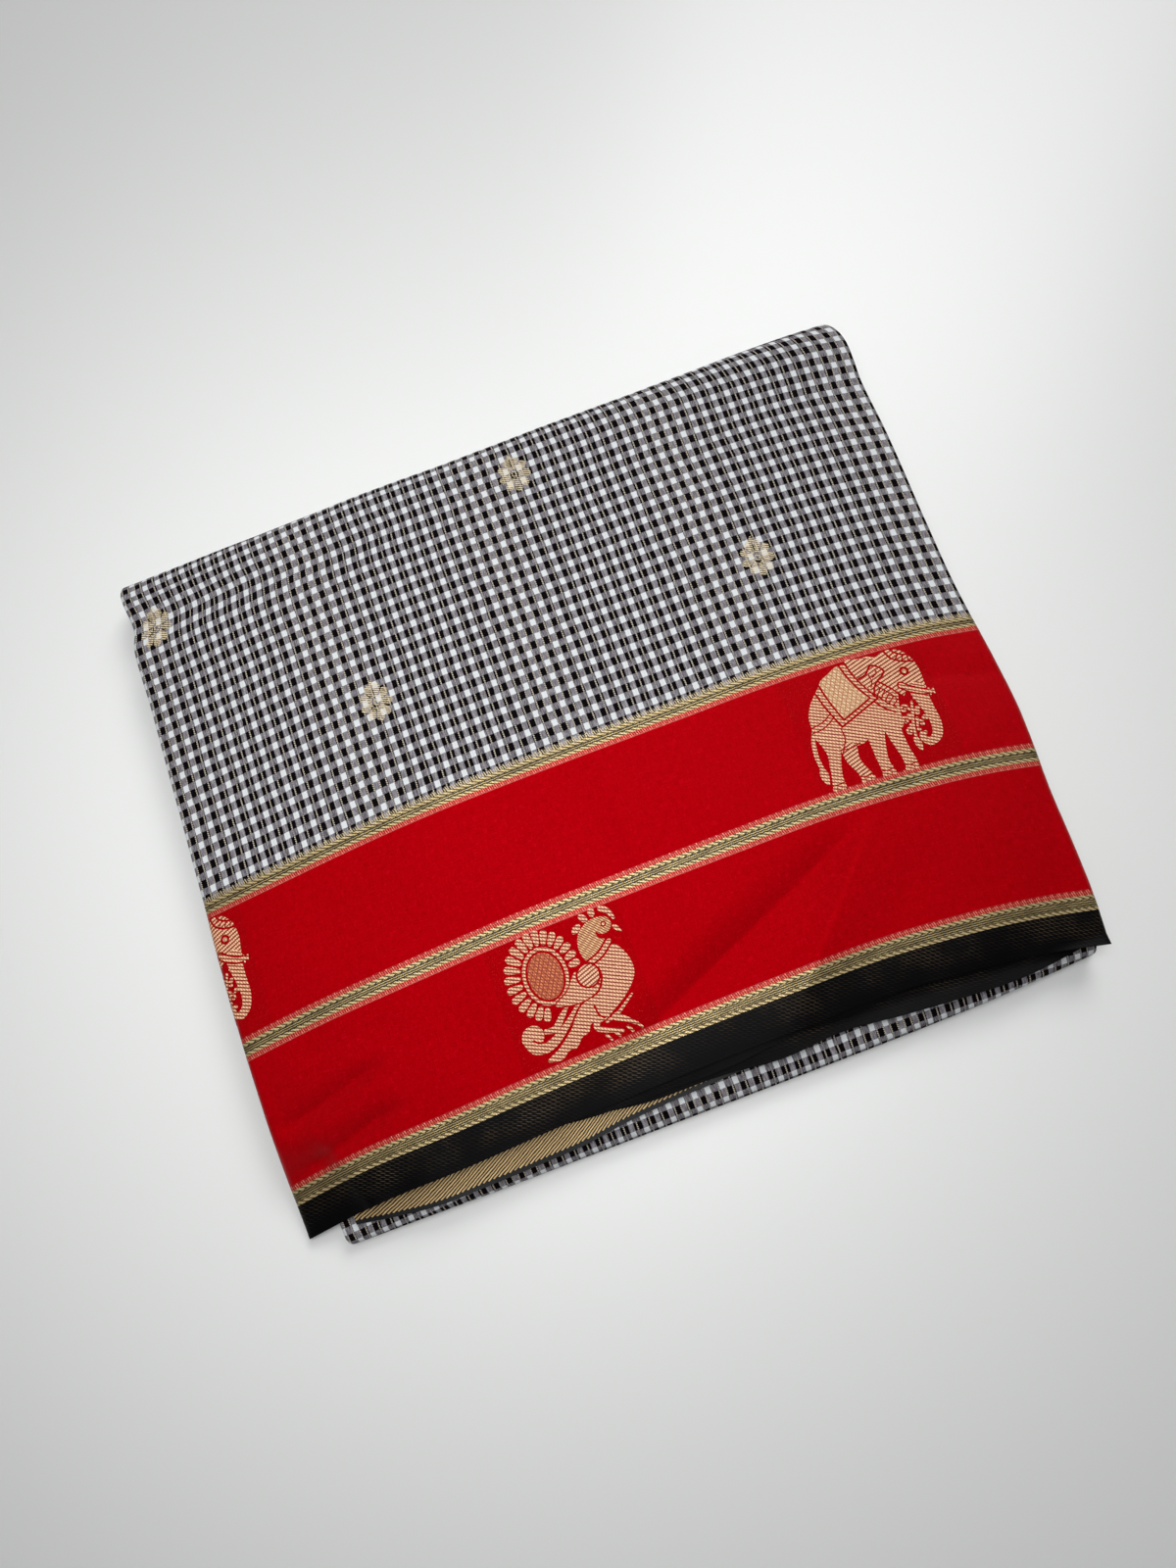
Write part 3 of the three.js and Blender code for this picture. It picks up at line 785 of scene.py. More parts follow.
def elephant():
    """A caparisoned elephant that walks to the right, 57 wide and 51 high."""
    shapes = Motif()
    add, cut = shapes.add, shapes.cut
    # Tail, body, legs, head and trunk
    add(HATCH, band((5.8, 27.5, 2.4), (3.0, 22, 1.9), (1.9, 16, 1.7), (2.2, 11, 1.6)))
    add(HATCH, blob((1.8, 12), (3.6, 9.2), (3.2, 6.0), (2.2, 4.0), (0.6, 6.6), (0.4, 9.4)))
    add(HATCH, blob(
        (5.0, 26), (5.2, 32), (7.6, 37), (11.4, 41.2), (16, 45.2), (20.5, 47.8), (25, 49.4),
        (31, 50.3), (40, 49.8), (45, 45), (43.5, 34), (41, 26), (39, 18), (32, 17.6),
        (27.5, 19.5), (21.6, 16.0), (13, 16.5), (6.8, 18),
    ))
    add(HATCH, band((9.4, 24, 10), (8.9, 17, 6.4), (7.6, 11, 4.7), (6.5, 6, 4.3), (6.1, 3, 5.2)))
    add(RISING, band((15.2, 15.2, 6.6), (15.0, 12, 5.6), (15.6, 9, 4.6), (17, 5.5, 4.2), (17.7, 3, 5)))
    add(HATCH, band((28, 22, 9), (27, 15, 6.2), (26.3, 9, 4.8), (26.3, 5.5, 4.4), (26.5, 2.8, 5.0)))
    add(HATCH, band((34.8, 23, 7.4), (34.9, 15, 5.8), (35.6, 9, 4.8), (36.2, 5.5, 4.8), (36.4, 2.6, 5.4)))
    add(RISING, blob(
        (28.5, 50.6), (35, 50.2), (40, 48.8), (45, 50.6), (50.5, 49.8), (54.2, 46), (55.7, 40),
        (55.2, 34), (54.2, 28.5), (49.5, 27.5), (46.3, 29), (42, 33), (36, 33), (31.5, 40),
    ))
    add(HATCH, band(
        (51.2, 31.5, 7.2), (51.4, 27, 5.8), (51.9, 22, 4.7), (52.2, 16.5, 4.2), (50.9, 11.8, 3.9),
        (47.9, 9.4, 3.4), (45.4, 10.4, 2.8), (44.9, 12.8, 2.2), (46.6, 13.4, 1.5),
    ))
    # Toes
    for x, y in ((3.8, 1.6), (16.0, 1.5), (24.7, 1.3), (34.2, 1.1)):
        toes = [ellipse(x + 2.0 * i, y, 0.8, 1.1) for i in range(3)]
        cut(0.9, (x - 1.6, y), (x + 5.6, y))
        cut(0.5, (x - 1.2, y + 1.7), (x + 2, y + 1.3), (x + 5.2, y + 1.7))
        add(HATCH, *toes)
    # Gaps between the tail and the legs
    add(GROUND, blob((4.2, 23.5), (5.8, 19), (6.2, 15), (5.0, 11), (3.8, 12.5), (3.3, 18)))
    cut(THIN_LINE, (15.6, 24.6), (15.4, 20), (13.2, 16.0), (11.4, 13.0))
    cut(THIN_LINE, (12.0, 16.0), (16.2, 15.6), (20.4, 16.6))
    # Saddle cloth with its double border and the strap round the rump
    saddle = blob(
        (15.2, 45.0), (20.2, 48.0), (25.6, 49.8), (27.2, 43), (29.6, 37), (31.8, 33.2),
        (25, 30.4), (18.4, 27.8), (17.0, 33), (15.8, 39),
    )
    add(LATTICE, saddle)
    left_inner = [(14.6, 45.6), (15.5, 39), (16.7, 33), (18.2, 27.6)]
    left_outer = [(11.8, 43.0), (12.9, 37), (14.4, 31), (16.4, 25.0)]
    right_inner = [(25.6, 50.8), (27.2, 43.4), (29.4, 37.6), (31.8, 33.2)]
    right_outer = [(28.3, 51), (29.6, 44.0), (31.8, 38.0), (34.6, 32.2)]
    add(GROUND, line(LINE, *left_inner), line(LINE, *left_outer))
    add(GROUND, line(LINE, *right_inner), line(LINE, *right_outer))
    cut(LINE, (18.2, 27.6), (25, 30.3), (31.8, 33.2))
    cut(LINE, (16.4, 25.0), (25.6, 28.6), (34.6, 32.2))
    cut(THIN_LINE, (4.2, 28.4), (8.2, 28.9), (11.4, 30.0), (14.4, 32.2))
    cut(THIN_LINE, (4.4, 26.2), (8.6, 26.6), (12, 28.0), (15.2, 30.2))
    # Ear with its folds
    cut(
        LINE, (31.0, 42.2), (34.4, 43.2), (37.4, 46.0), (39.8, 45.4), (41.8, 42.8), (40.6, 41.0),
        (37.4, 39.0), (35.2, 36.6), (33.6, 33.2),
    )
    cut(THIN_LINE, (38.8, 44.2), (38.6, 42.4), (36.4, 41.2))
    cut(THIN_LINE, (35.4, 42.6), (35.4, 39.6), (34.2, 37.4))
    # Beaded collar between two straps
    cut(LINE, (38.0, 38.6), (41.5, 34.4), (44.6, 29.7))
    cut(THIN_LINE, (36.4, 37.2), (39.7, 33.2), (42.6, 28.4))
    cut(THIN_LINE, (34.4, 34.2), (36.6, 30.2), (39.9, 26.6))
    cut(LINE, (32.8, 31.0), (35.2, 27.6), (38.8, 24.6))
    beads_from = steps((34.9, 33.2), (39.0, 27.4), 5)
    beads_to = steps((37.4, 36.0), (42.0, 29.6), 5)
    for ends in zip(beads_from, beads_to):
        cut(THIN_LINE, *ends)
    # Head cap with beads
    cut(LINE, (45.4, 50.6), (46.8, 47.0), (50.4, 44.6), (55.6, 43.4))
    cut(LINE, (48.0, 51), (49.4, 48.8), (52.0, 47.2), (55.0, 46.6))
    for (x, y), (x1, y1) in zip(
        ((46.7, 47.8), (48.4, 45.9), (50.7, 44.6), (53.2, 43.8)),
        ((49.2, 49.1), (50.5, 48.0), (52.1, 47.1), (53.8, 46.6)),
    ):
        cut(THIN_LINE, (x, y), (x1, y1))
    # Eye, mouth and tusk
    add(GROUND, ellipse(49.6, 40.3, 2.0, 2.0))
    add(LATTICE, ellipse(49.6, 40.3, 0.95, 0.95, count=16))
    add(GROUND, blob((44.2, 28.6), (47.0, 32.0), (48.0, 29.0), (46.4, 25.6)))
    tusk = ((45.8, 34.8, 2.0), (48.6, 32.4, 2.0), (52.8, 30.2, 1.7), (56.8, 29.4, 1.2))
    add(GROUND, band(*((x, y, width + 1.6) for x, y, width in tusk)))
    add(HATCH, band(*tusk))
    add(HATCH, line(0.6, (55.6, 30.8), (55.4, 28.2)), line(0.6, (57.2, 30.4), (57.0, 28.4)))
    # Flowering scroll between the front leg and the trunk
    add(HATCH, line(1.0, (42.0, 9.4), (42.4, 13.5), (43.2, 17.5), (44.6, 21.5), (46.6, 27.0)))
    for x, y, radius, start, turns in (
        (42.5, 24.8, 1.9, -20, 1.1), (41.3, 20.1, 1.8, 10, 1.1), (41.0, 15.2, 1.8, 0, 1.1),
        (46.6, 22.2, 1.6, 190, -1.0), (46.4, 17.2, 1.7, 190, -1.0), (49.2, 19.2, 1.2, 190, -0.9),
    ):
        add(HATCH, curl(x, y, radius, start, turns, 1.0))
    for x, y in ((43.4, 22.0), (42.4, 17.6), (45.6, 19.6), (44.6, 15.2), (47.8, 24.0)):
        add(HATCH, ellipse(x, y, 0.85, 0.85, count=10))
    add(HATCH, blob((41.0, 12.4), (43.0, 11.6), (43.4, 9.0), (42.6, 6.6), (41.0, 8.8)))
    return shapes


PEACOCK_TAIL_X = 19.2
PEACOCK_TAIL_Y = 33.4
PEACOCK_PETALS = 19


def peacock():
    """A peacock that faces right with its tail spread, 54 wide and 52 high."""
    shapes = Motif()
    add, cut = shapes.add, shapes.cut
    # Spread tail: fat petals round a ring with a lattice inside, shorter near the body
    for angle in np.radians(np.linspace(2, 250, PEACOCK_PETALS)):
        root_x, root_y = 10.9 * math.cos(angle), 13.2 * math.sin(angle)
        turn = math.atan2(root_y * 0.8, root_x)
        reach = 3.4 - 0.9 * math.cos(angle) + 0.6 * math.sin(angle)
        x, y = PEACOCK_TAIL_X + root_x, PEACOCK_TAIL_Y + root_y
        out_x, out_y = math.cos(turn), math.sin(turn)
        add(HATCH, band(
            (x, y, 1.9), (x + 0.5 * reach * out_x, y + 0.5 * reach * out_y, 2.7),
            (x + reach * out_x, y + reach * out_y, 2.9),
        ))
    add(GROUND, ellipse(PEACOCK_TAIL_X, PEACOCK_TAIL_Y, 9.9, 12.4))
    add(HATCH, ellipse(PEACOCK_TAIL_X, PEACOCK_TAIL_Y, 9.2, 11.7))
    add(GROUND, ellipse(PEACOCK_TAIL_X, PEACOCK_TAIL_Y, 7.9, 10.3))
    add(DISC, ellipse(PEACOCK_TAIL_X, PEACOCK_TAIL_Y, 7.0, 9.4))
    # Lower tail: a long band that curls up at the left and a feather above it
    add(HATCH, band((29, 18.8, 2.6), (23.5, 14.3, 3.0), (17.0, 10.1, 3.4), (10.5, 7.6, 3.8),
                    (5.4, 8.9, 4.0), (3.6, 13.1, 4.0)))
    add(HATCH, ellipse(6.4, 13.5, 4.5, 4.2))
    cut(LINE, (10.9, 10.0), (8.0, 10.3), (6.0, 11.9))
    add(HATCH, band((12.0, 13.4, 2.0), (15.8, 13.0, 2.6), (19.6, 16.2, 2.4), (23.0, 19.2, 1.2)))
    # Body, from the breast to the tail
    add(HATCH, blob(
        (36.6, 31.0), (42, 32.0), (48.6, 35.4), (52.3, 30.4), (53.4, 24.3), (51.4, 19.4),
        (46, 14.6), (39.5, 10.9), (35.0, 8.8), (30.0, 9.6), (28.0, 7.0), (24.6, 6.0),
        (21.4, 3.2), (18.0, 3.2), (14, 1.0), (8.6, 2.6), (15.2, 5.8), (21.6, 10.4),
        (28.0, 16.6), (32, 20.4),
    ))
    cut(LINE, (9.0, 4.0), (15.6, 7.0), (21.8, 11.6), (27.6, 17.2), (31.6, 19.0))
    # Head, neck and crest
    add(STEEP, blob(
        (36.9, 32.9), (35.3, 36.9), (35.6, 40.8), (37.6, 44.5), (42.0, 47.2), (46.4, 47.6),
        (50.0, 46.2), (50.9, 43.4), (49.0, 40.9), (45.8, 40.7), (43.8, 42.4), (44.2, 39.8),
        (46.6, 37.8), (42.5, 35.2),
    ))
    plumes = ((36.9, 46.0, 2.3, 32), (40.9, 49.2, 2.1, 128), (44.8, 50.2, 1.9, 100))
    for x, y, length, turn in plumes:
        add(HATCH, ellipse(x, y, length, 1.35, turn))
    add(HATCH, band((48.8, 50.4, 2.2), (51.2, 48.4, 2.2), (52.6, 45.0, 1.2)))
    add(HATCH, blob((51.3, 42.4), (52.9, 41.6), (54.0, 38.6), (52.4, 39.6), (51.2, 40.8)))
    add(GROUND, ellipse(47.9, 44.2, 1.2, 1.2))
    add(LATTICE, ellipse(47.9, 44.2, 0.6, 0.6, count=12))
    # Collar
    add(HATCH, band((38.0, 32.0, 2.0), (43.0, 33.6, 2.0), (47.6, 37.0, 2.0)))
    cut(LINE, (38.6, 30.6), (43.6, 32.4), (48.8, 36.4))
    cut(LINE, (36.6, 32.6), (42.2, 34.6), (46.8, 38.2))
    # Wing and its round shoulder
    wing = blob((30.4, 30.4), (33.0, 28.0), (36.4, 23.6), (38.6, 22.0), (34.6, 19.6), (27.6, 18.8),
                (19.0, 21.0), (25.2, 24.6))
    cut(THIN_LINE * 2, *(tuple(p) for p in wing[::6]), tuple(wing[0]))
    add(HATCH, wing)
    add(GROUND, ellipse(35.3, 27.4, 5.1, 5.1))
    add(RISING, ellipse(35.3, 27.4, 4.3, 4.3))
    cut(LINE, (40.2, 28.4), (40.0, 24.6), (37.4, 20.6), (34, 19.0))
    # Legs and feet
    cut(LINE, (33.4, 15.4), (34.0, 11.6), (35.8, 9.8))
    add(HATCH, band((32.6, 9.8, 2.6), (31.4, 7.4, 2.2), (33.8, 5.6, 2.0), (40.4, 2.6, 1.6)))
    add(HATCH, band((36.0, 8.0, 1.0), (41.4, 9.6, 1.3), (49.0, 14.4, 0.8)))
    add(HATCH, band((40.0, 8.6, 3.0), (43.2, 6.4, 2.2), (46.6, 3.4, 1.2)))
    for x in (34.0, 37.6, 43.0, 47.0):
        add(HATCH, line(1.0, (x, 3.4), (x + 1.4, 1.0)))
    return shapes


BUTI_LOBES = 9


def flower():
    """A small oval flower with a pointed tip, 14 wide and 20 high."""
    shapes = []
    for i in range(BUTI_LOBES):
        angle = math.radians(90 + 360 * (i + 0.5) / BUTI_LOBES)
        x, y = 4.3 * math.cos(angle), 5.6 * math.sin(angle)
        turn = math.degrees(math.atan2(y, x))
        shapes.append((HATCH, ellipse(x, y, 3.0, 2.0, turn, count=16)))
    shapes.append((HATCH, ellipse(0, 0, 4.0, 5.0)))
    shapes.append((HATCH, blob((-1.4, 7.0), (0.2, 10.0), (1.2, 7.4), (0, 5.6))))
    shapes.append((GROUND, ellipse(0, 0, 1.9, 2.4)))
    shapes.append((HATCH, ellipse(0, 0, 1.3, 1.7)))
    shapes.append((GROUND, ellipse(0, 0, 0.6, 0.8, count=12)))
    for i in range(BUTI_LOBES):
        angle = math.radians(90 + 360 * i / BUTI_LOBES)
        out_x, out_y = math.cos(angle), math.sin(angle) * 1.25
        shapes.append((GROUND, line(0.4, (2.6 * out_x, 2.6 * out_y), (6.0 * out_x, 6.0 * out_y))))
    return shapes


def inside(outline, x, y):
    """Which points lie inside a closed outline."""
    x0, y0 = outline[:, 0], outline[:, 1]
    x1, y1 = np.roll(x0, -1), np.roll(y0, -1)
    crosses = (y0 > y[:, None]) != (y1 > y[:, None])
    rise = np.where(y1 == y0, 1, y1 - y0)
    at = x0 + (y[:, None] - y0) / rise * (x1 - x0)
    return (np.sum(crosses & (x[:, None] < at), axis=1) % 2) == 1


def motif_mesh(shapes, spacing=1.2):
    """Flat triangles of the gold parts of a motif, with the fill of each."""
    loops = [outline for _, outline in shapes]
    points = np.concatenate(loops)
    edges, start = [], 0
    for loop in loops:
        count = len(loop)
        edges += [(start + i, start + (i + 1) % count) for i in range(count)]
        start += count
    low, high = points.min(0), points.max(0)
    rows = np.arange(low[1], high[1], spacing * 0.866)
    columns = np.arange(low[0], high[0], spacing)
    x, y = np.meshgrid(columns, rows)
    x = x + (np.arange(len(rows)) % 2 * spacing / 2)[:, None]
    points = np.concatenate([points, np.stack([x.ravel(), y.ravel()], -1)])
    verts = [Vector(p) for p in points.tolist()]
    verts, _, faces, _, _, _ = delaunay_2d_cdt(verts, edges, [], 0, 1e-4)
    verts = np.array([tuple(v) for v in verts])
    faces = np.array([tuple(f) for f in faces])
    centres = verts[faces].mean(1)
    fills = np.full(len(faces), GROUND)
    for fill, outline in shapes:
        low, high = outline.min(0), outline.max(0)
        near = np.all((centres > low) & (centres < high), axis=1)
        picked = np.flatnonzero(near)
        hit = inside(outline, *centres[picked].T)
        fills[picked[hit]] = fill
    kept = fills != GROUND
    return verts, faces[kept], fills[kept]


def add_piece(name, points, faces, material, cloth, sharp=()):
    """A mesh piece that rides on the saree. cloth holds across and along for each point."""
    mesh = bpy.data.meshes.new(name)
    mesh.from_pydata((np.asarray(points) * MM).tolist(), [], [list(f) for f in faces])
    mesh.materials.append(material)
    attribute = mesh.attributes.new("cloth", "FLOAT_VECTOR", "POINT")
    vectors = np.zeros((len(points), 3), np.float32)
    vectors[:, :2] = cloth
    attribute.data.foreach_set("vector", vectors.ravel())
    mesh.polygons.foreach_set("use_smooth", [True] * len(mesh.polygons))
    if len(sharp):
        pairs = set(map(tuple, np.sort(np.asarray(sharp), axis=1).tolist()))
        marks = [tuple(sorted(edge.vertices)) in pairs for edge in mesh.edges]
        mesh.attributes.new("sharp_edge", "BOOLEAN", "EDGE").data.foreach_set("value", marks)
    mesh.validate()
    piece = bpy.data.objects.new(name, mesh)
    bpy.context.scene.collection.objects.link(piece)
    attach(piece, "root")
    return piece


def grid_faces(rows, columns, start=0, flip=False):
    index = np.arange(rows * columns).reshape(rows, columns) + start
    corners = [index[:-1, :-1], index[:-1, 1:], index[1:, 1:], index[1:, :-1]]
    if flip:
        corners.reverse()
    return np.stack(corners, -1).reshape(-1, 4)


def wall(outer, inner):
    """Points and faces of a closed wall between two grids, and its rim's edges."""
    rows, columns, _ = outer.shape
    count = rows * columns
    index = np.arange(count).reshape(rows, columns)
    ring = np.concatenate([index[0], index[1:, -1], index[-1, -2::-1], index[-2:0:-1, 0]])
    following = np.roll(ring, -1)
    rim = np.stack([ring, ring + count, following + count, following], -1)
    faces = np.concatenate(
        [grid_faces(rows, columns), grid_faces(rows, columns, count, flip=True), rim]
    )
    points = np.concatenate([outer.reshape(-1, 3), inner.reshape(-1, 3)])
    sharp = np.concatenate(
        [np.stack([ring, following], -1), np.stack([ring, following], -1) + count]
    )
    return points, faces, sharp


LEAF_THICKNESS = 0.5
FINE_STEP = 1.6
UNDER_STEP = 2.6
ELEPHANT_REPEAT = 301.0
ELEPHANT_WIDTH = 57.0
ELEPHANT_AT = (85.2, RED_FAR_AT - 0.9)
PEACOCK_WIDTH = 54.0
PEACOCK_AT = (-65.2, RED_NEAR_AT - 0.2)
MOTIF_MARGIN = 2.0
NOSE_TURN = math.radians(155)


def across_values():
    flat = np.linspace(-FLAT_HALF, FLAT_HALF, int(2 * FLAT_HALF / FINE_STEP) + 1)
    nose = FLAT_HALF + NOSE_RADIUS * np.linspace(0, NOSE_TURN, 13)[1:]
    return np.concatenate([-nose[::-1], flat, nose])


ACROSS = across_values()


def leaf_piece(name, start, stop, material, node, step=FINE_STEP):
    rows = max(3, int(round((stop - start) / step)) + 1)
    across, along = np.meshgrid(ACROSS, np.linspace(start, stop, rows))
    outer = leaf_points(across, along)
    inner = leaf_points(across, along, LEAF_THICKNESS)
    points, faces, sharp = wall(outer, inner)
    cloth = np.stack([across, cloth_along(across, along)], -1).reshape(-1, 2)
    piece = add_piece(name, points, faces, material, np.tile(cloth, (2, 1)), sharp)
    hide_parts(node)
    return piece


def make_top_leaf(black):
    def columns(start, width):
        return start - MOTIF_MARGIN, start + width + MOTIF_MARGIN

    elephant_columns = [
        columns(ELEPHANT_AT[0] - shift, ELEPHANT_WIDTH) for shift in (0, ELEPHANT_REPEAT)
    ]
    red_near = red_material("red_satin_near", [columns(PEACOCK_AT[0], PEACOCK_WIDTH)])
    red_far = red_material("red_satin_far", elephant_columns)
    near = zari_material("zari_near", ZARI_NEAR_AT, ZARI_NEAR_WIDTH, None, RED)
    middle = zari_material("zari_middle", ZARI_MIDDLE_AT, ZARI_MIDDLE_WIDTH, RED, RED)
    far = zari_material("zari_far", ZARI_FAR_AT, ZARI_FAR_WIDTH, RED, "checks")
    pieces = {}
    for name, start, stop, material, slot in (
        ("selvedge_black", 0, ZARI_NEAR_AT, black, "black_border"),
        ("zari_near", ZARI_NEAR_AT, RED_NEAR_AT, near, "zari_band"),
        ("red_near", RED_NEAR_AT, ZARI_MIDDLE_AT, red_near, "red_border"),
        ("zari_middle", ZARI_MIDDLE_AT, RED_FAR_AT, middle, "zari_band"),
        ("red_far", RED_FAR_AT, ZARI_FAR_AT, red_far, "red_border"),
        ("zari_far", ZARI_FAR_AT, BODY_AT, far, "zari_band"),
    ):
        pieces[name] = leaf_piece("leaf_" + name, start, stop, material, "top_" + name)
    return pieces


UNDER_LEAF_STARTS = FAR_TURN_AT + FAR_TURN_LENGTH * 0.8
UNDER_LEAF_ENDS = TUCK_AT + 22


def make_body(checked):
    top = leaf_piece(
        "leaf_body_checked", BODY_AT, UNDER_LEAF_STARTS, checked,
        "top_body_checked",
    )
    under = leaf_piece(
        "under_leaf_checked", UNDER_LEAF_STARTS, UNDER_LEAF_ENDS, checked,
        "under_body_checked", UNDER_STEP,
    )
    return top, under


PATCH_LIFT = 0.1
CLOTH_EDGE = FLAT_HALF + NOSE_RADIUS * NOSE_TURN - 0.4


def stitch_patch(name, mesh_parts, materials):
    """A woven motif: flat triangles laid on the leaf, just clear of its face. mesh_parts
    holds for each copy its across and along on the leaf, its faces and their fills."""
    points, cloth, faces, fills = [], [], [], []
    start = 0
    for across, along, part_faces, part_fills in mesh_parts:
        on_leaf = np.abs(across)[part_faces].max(1) < CLOTH_EDGE
        used, renumbered = np.unique(part_faces[on_leaf], return_inverse=True)
        points.append(leaf_points(across[used], along[used], -PATCH_LIFT))
        cloth.append(np.stack([across[used], cloth_along(across[used], along[used])], -1))
        faces.append(renumbered.reshape(-1, 3) + start)
        fills.append(part_fills[on_leaf])
        start += len(used)
    faces = np.concatenate(faces)
    piece = add_piece(
        name, np.concatenate(points), faces, materials[0], np.concatenate(cloth)
    )
    for material in materials[1:]:
        piece.data.materials.append(material)
    if len(materials) > 1:
        piece.data.polygons.foreach_set("material_index", np.concatenate(fills))
    return piece


def place_on_border(motif, at):
    verts, faces, fills = motif
    return verts[:, 0] + at[0], verts[:, 1] + at[1], faces, fills


def along_on_leaf(across, woven_along):
    """The place along the leaf where a woven row lies, found step by step."""
    along = woven_along
    for _ in range(8):
        along = along + woven_along - cloth_along(across, along)
    return along


def make_border_motifs():
    gold = [stitch_material(fill) for fill in STITCHES]
    walking = motif_mesh(elephant())
    left_at = (ELEPHANT_AT[0] - ELEPHANT_REPEAT, ELEPHANT_AT[1])
    elephants = [place_on_border(walking, at) for at in (ELEPHANT_AT, left_at)]
    bird = place_on_border(motif_mesh(peacock()), PEACOCK_AT)
    return (
        stitch_patch("woven_elephants", elephants, gold),
        stitch_patch("woven_peacock", [bird], gold),
    )


BUTI_ROW_PITCH = 75.0
BUTI_ROW_START = 132.5 + 55.3
BUTI_PITCH = 174.0
BUTI_START = (98.1, 13.7)


def make_butis():
    """Flowers in rows, each row half a step along from the last, over and under the packet."""
    material = buti_material()
    verts, faces, fills = motif_mesh(flower(), 1.5)
    top_copies, under_copies = [], []
    rows = int((UNDER_LEAF_ENDS - 12 - BUTI_ROW_START) / BUTI_ROW_PITCH) + 1
    for row in range(rows):
        woven = BUTI_ROW_START + row * BUTI_ROW_PITCH
        for step in (-2, -1, 0, 1):
            centre = BUTI_START[row % 2] + step * BUTI_PITCH
            if abs(centre) > HALF_WIDTH:
                continue
            across = centre + verts[:, 0]
            along = along_on_leaf(across, woven + verts[:, 1])
            copies = top_copies if woven < UNDER_LEAF_STARTS else under_copies
            copies.append((across, along, faces, fills))
    top = stitch_patch("top_flower_butis", top_copies, [material])
    under = stitch_patch("under_flower_butis", under_copies, [material])
    return top, under


# The strip of hidden layers behind the outer leaf, as stations on its own outer face
STRIP_STEP = 3.0
STRIP_STARTS = 6.0
STRIP_TUCK = 24.0
THIRD_QUARTER_SETBACK = 28.0
LAST_QUARTER_END_Y = -92.0
STRIP_TURN_POINTS = 9


def strip_stations():
    """Y, Z, look and whether the leaf covers it, along the whole folded strip."""
    along = np.arange(STRIP_STARTS, TUCK_AT + STRIP_TUCK, STRIP_STEP)
    y, z, look_y, look_z = path(along)
    third_y = np.arange(NEAR_FOLD_Y + THIRD_QUARTER_SETBACK, FAR_FOLD_Y, STRIP_STEP)
    angles = np.linspace(-math.pi / 2, math.pi / 2, STRIP_TURN_POINTS)
    last_y = np.arange(FAR_FOLD_Y - 1, LAST_QUARTER_END_Y, -STRIP_STEP)
    y = np.concatenate([y, third_y, np.full(STRIP_TURN_POINTS, FAR_FOLD_Y), last_y])
    z = np.concatenate([z, np.full(len(y) - len(z), MIDDLE_Z)])
    look_y = np.concatenate([look_y, 0 * third_y, -np.cos(angles), 0 * last_y])
    look_z = np.concatenate([look_z, 0 * third_y + 1, -np.sin(angles), 0 * last_y - 1])
    covered = np.arange(len(y)) < len(along)
    lengths = np.hypot(np.diff(y), np.diff(z))
    run = STRIP_STARTS + np.concatenate([[0], np.cumsum(lengths)])
    return y, z, look_y, look_z, covered, run


COVERED_DEPTH = 1.4
COVERED_SINK = 1.1
BARE_DEPTH = 0.2
NOSE_POINTS = 25
FLAT_POINTS = 61


def strip_section(covered):
    """X and depth round the strip, from its left tip over its face to its right and back."""
    face = COVERED_DEPTH if covered else BARE_DEPTH
    height = NOSE_RADIUS - face
    angles = np.linspace(0, math.pi, NOSE_POINTS)
    flat = np.linspace(-1, 1, FLAT_POINTS) * (FLAT_HALF - NOSE_RADIUS)

    def nose(side, lobes):
        bulge = height / lobes
        root = FLAT_HALF + height - bulge
        x = side * (root + bulge * np.abs(np.sin(lobes * angles)))
        return np.stack([x, NOSE_RADIUS - height * np.cos(angles)], -1)

    left = nose(-1, 1)[::-1]
    right = nose(1, 1 if covered else 2)
    top = np.stack([flat, np.full_like(flat, face + COVERED_SINK * covered)], -1)
    back = np.stack([flat[::-1], np.full_like(flat, STRIP - BARE_DEPTH)], -1)
    tip = NOSE_POINTS // 2
    return np.concatenate([left[tip:], top, right, back, left[:tip]])


def make_folded_layers(checked):
    y, z, look_y, look_z, covered, run = strip_stations()
    sections = {True: strip_section(True), False: strip_section(False)}
    rings, cloth = [], []
    for i in range(len(y)):
        section = sections[bool(covered[i])]
        x, depth = section[:, 0], section[:, 1]
        rings.append(settle(x, y[i] - depth * look_y[i], z[i] - depth * look_z[i]))
        round_nose = np.sign(x) * (np.abs(x) + depth)
        cloth.append(np.stack([round_nose, np.full_like(x, run[i])], -1))
    rings, cloth = np.array(rings), np.array(cloth)
    rows, columns, _ = rings.shape
    index = np.arange(rows * columns).reshape(rows, columns)
    following = np.roll(index, -1, axis=1)
    sides = np.stack([index[:-1], following[:-1], following[1:], index[1:]], -1).reshape(-1, 4)
    faces = sides.tolist()
    for ring, flip in ((index[0], True), (index[-1], False)):
        half = columns // 2
        for i in range(half):
            corners = [ring[i], ring[i + 1], ring[-i - 1], ring[(columns - i) % columns]]
            corners = list(dict.fromkeys(int(c) for c in corners))
            if len(corners) > 2:
                faces.append(corners[::-1] if flip else corners)
    piece = add_piece(
        "folded_strip", rings.reshape(-1, 3), faces, checked, cloth.reshape(-1, 2)
    )
    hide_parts("folded_layers")
    return piece


EDGE_STEP = 1.5
EDGE_ROWS = 25
EDGE_RIPPLE = 0.25
EDGE_RIPPLE_REACH = 9.0
TIER_BACK_Y = -106.0
HEM_BACK_Y = -120.0
CORNER_FOLLOWED = 0.15
HIDDEN_FOLLOWED = 0.65
HIDDEN_FROM_Y = -132.0
HIDDEN_OVER = 7.0


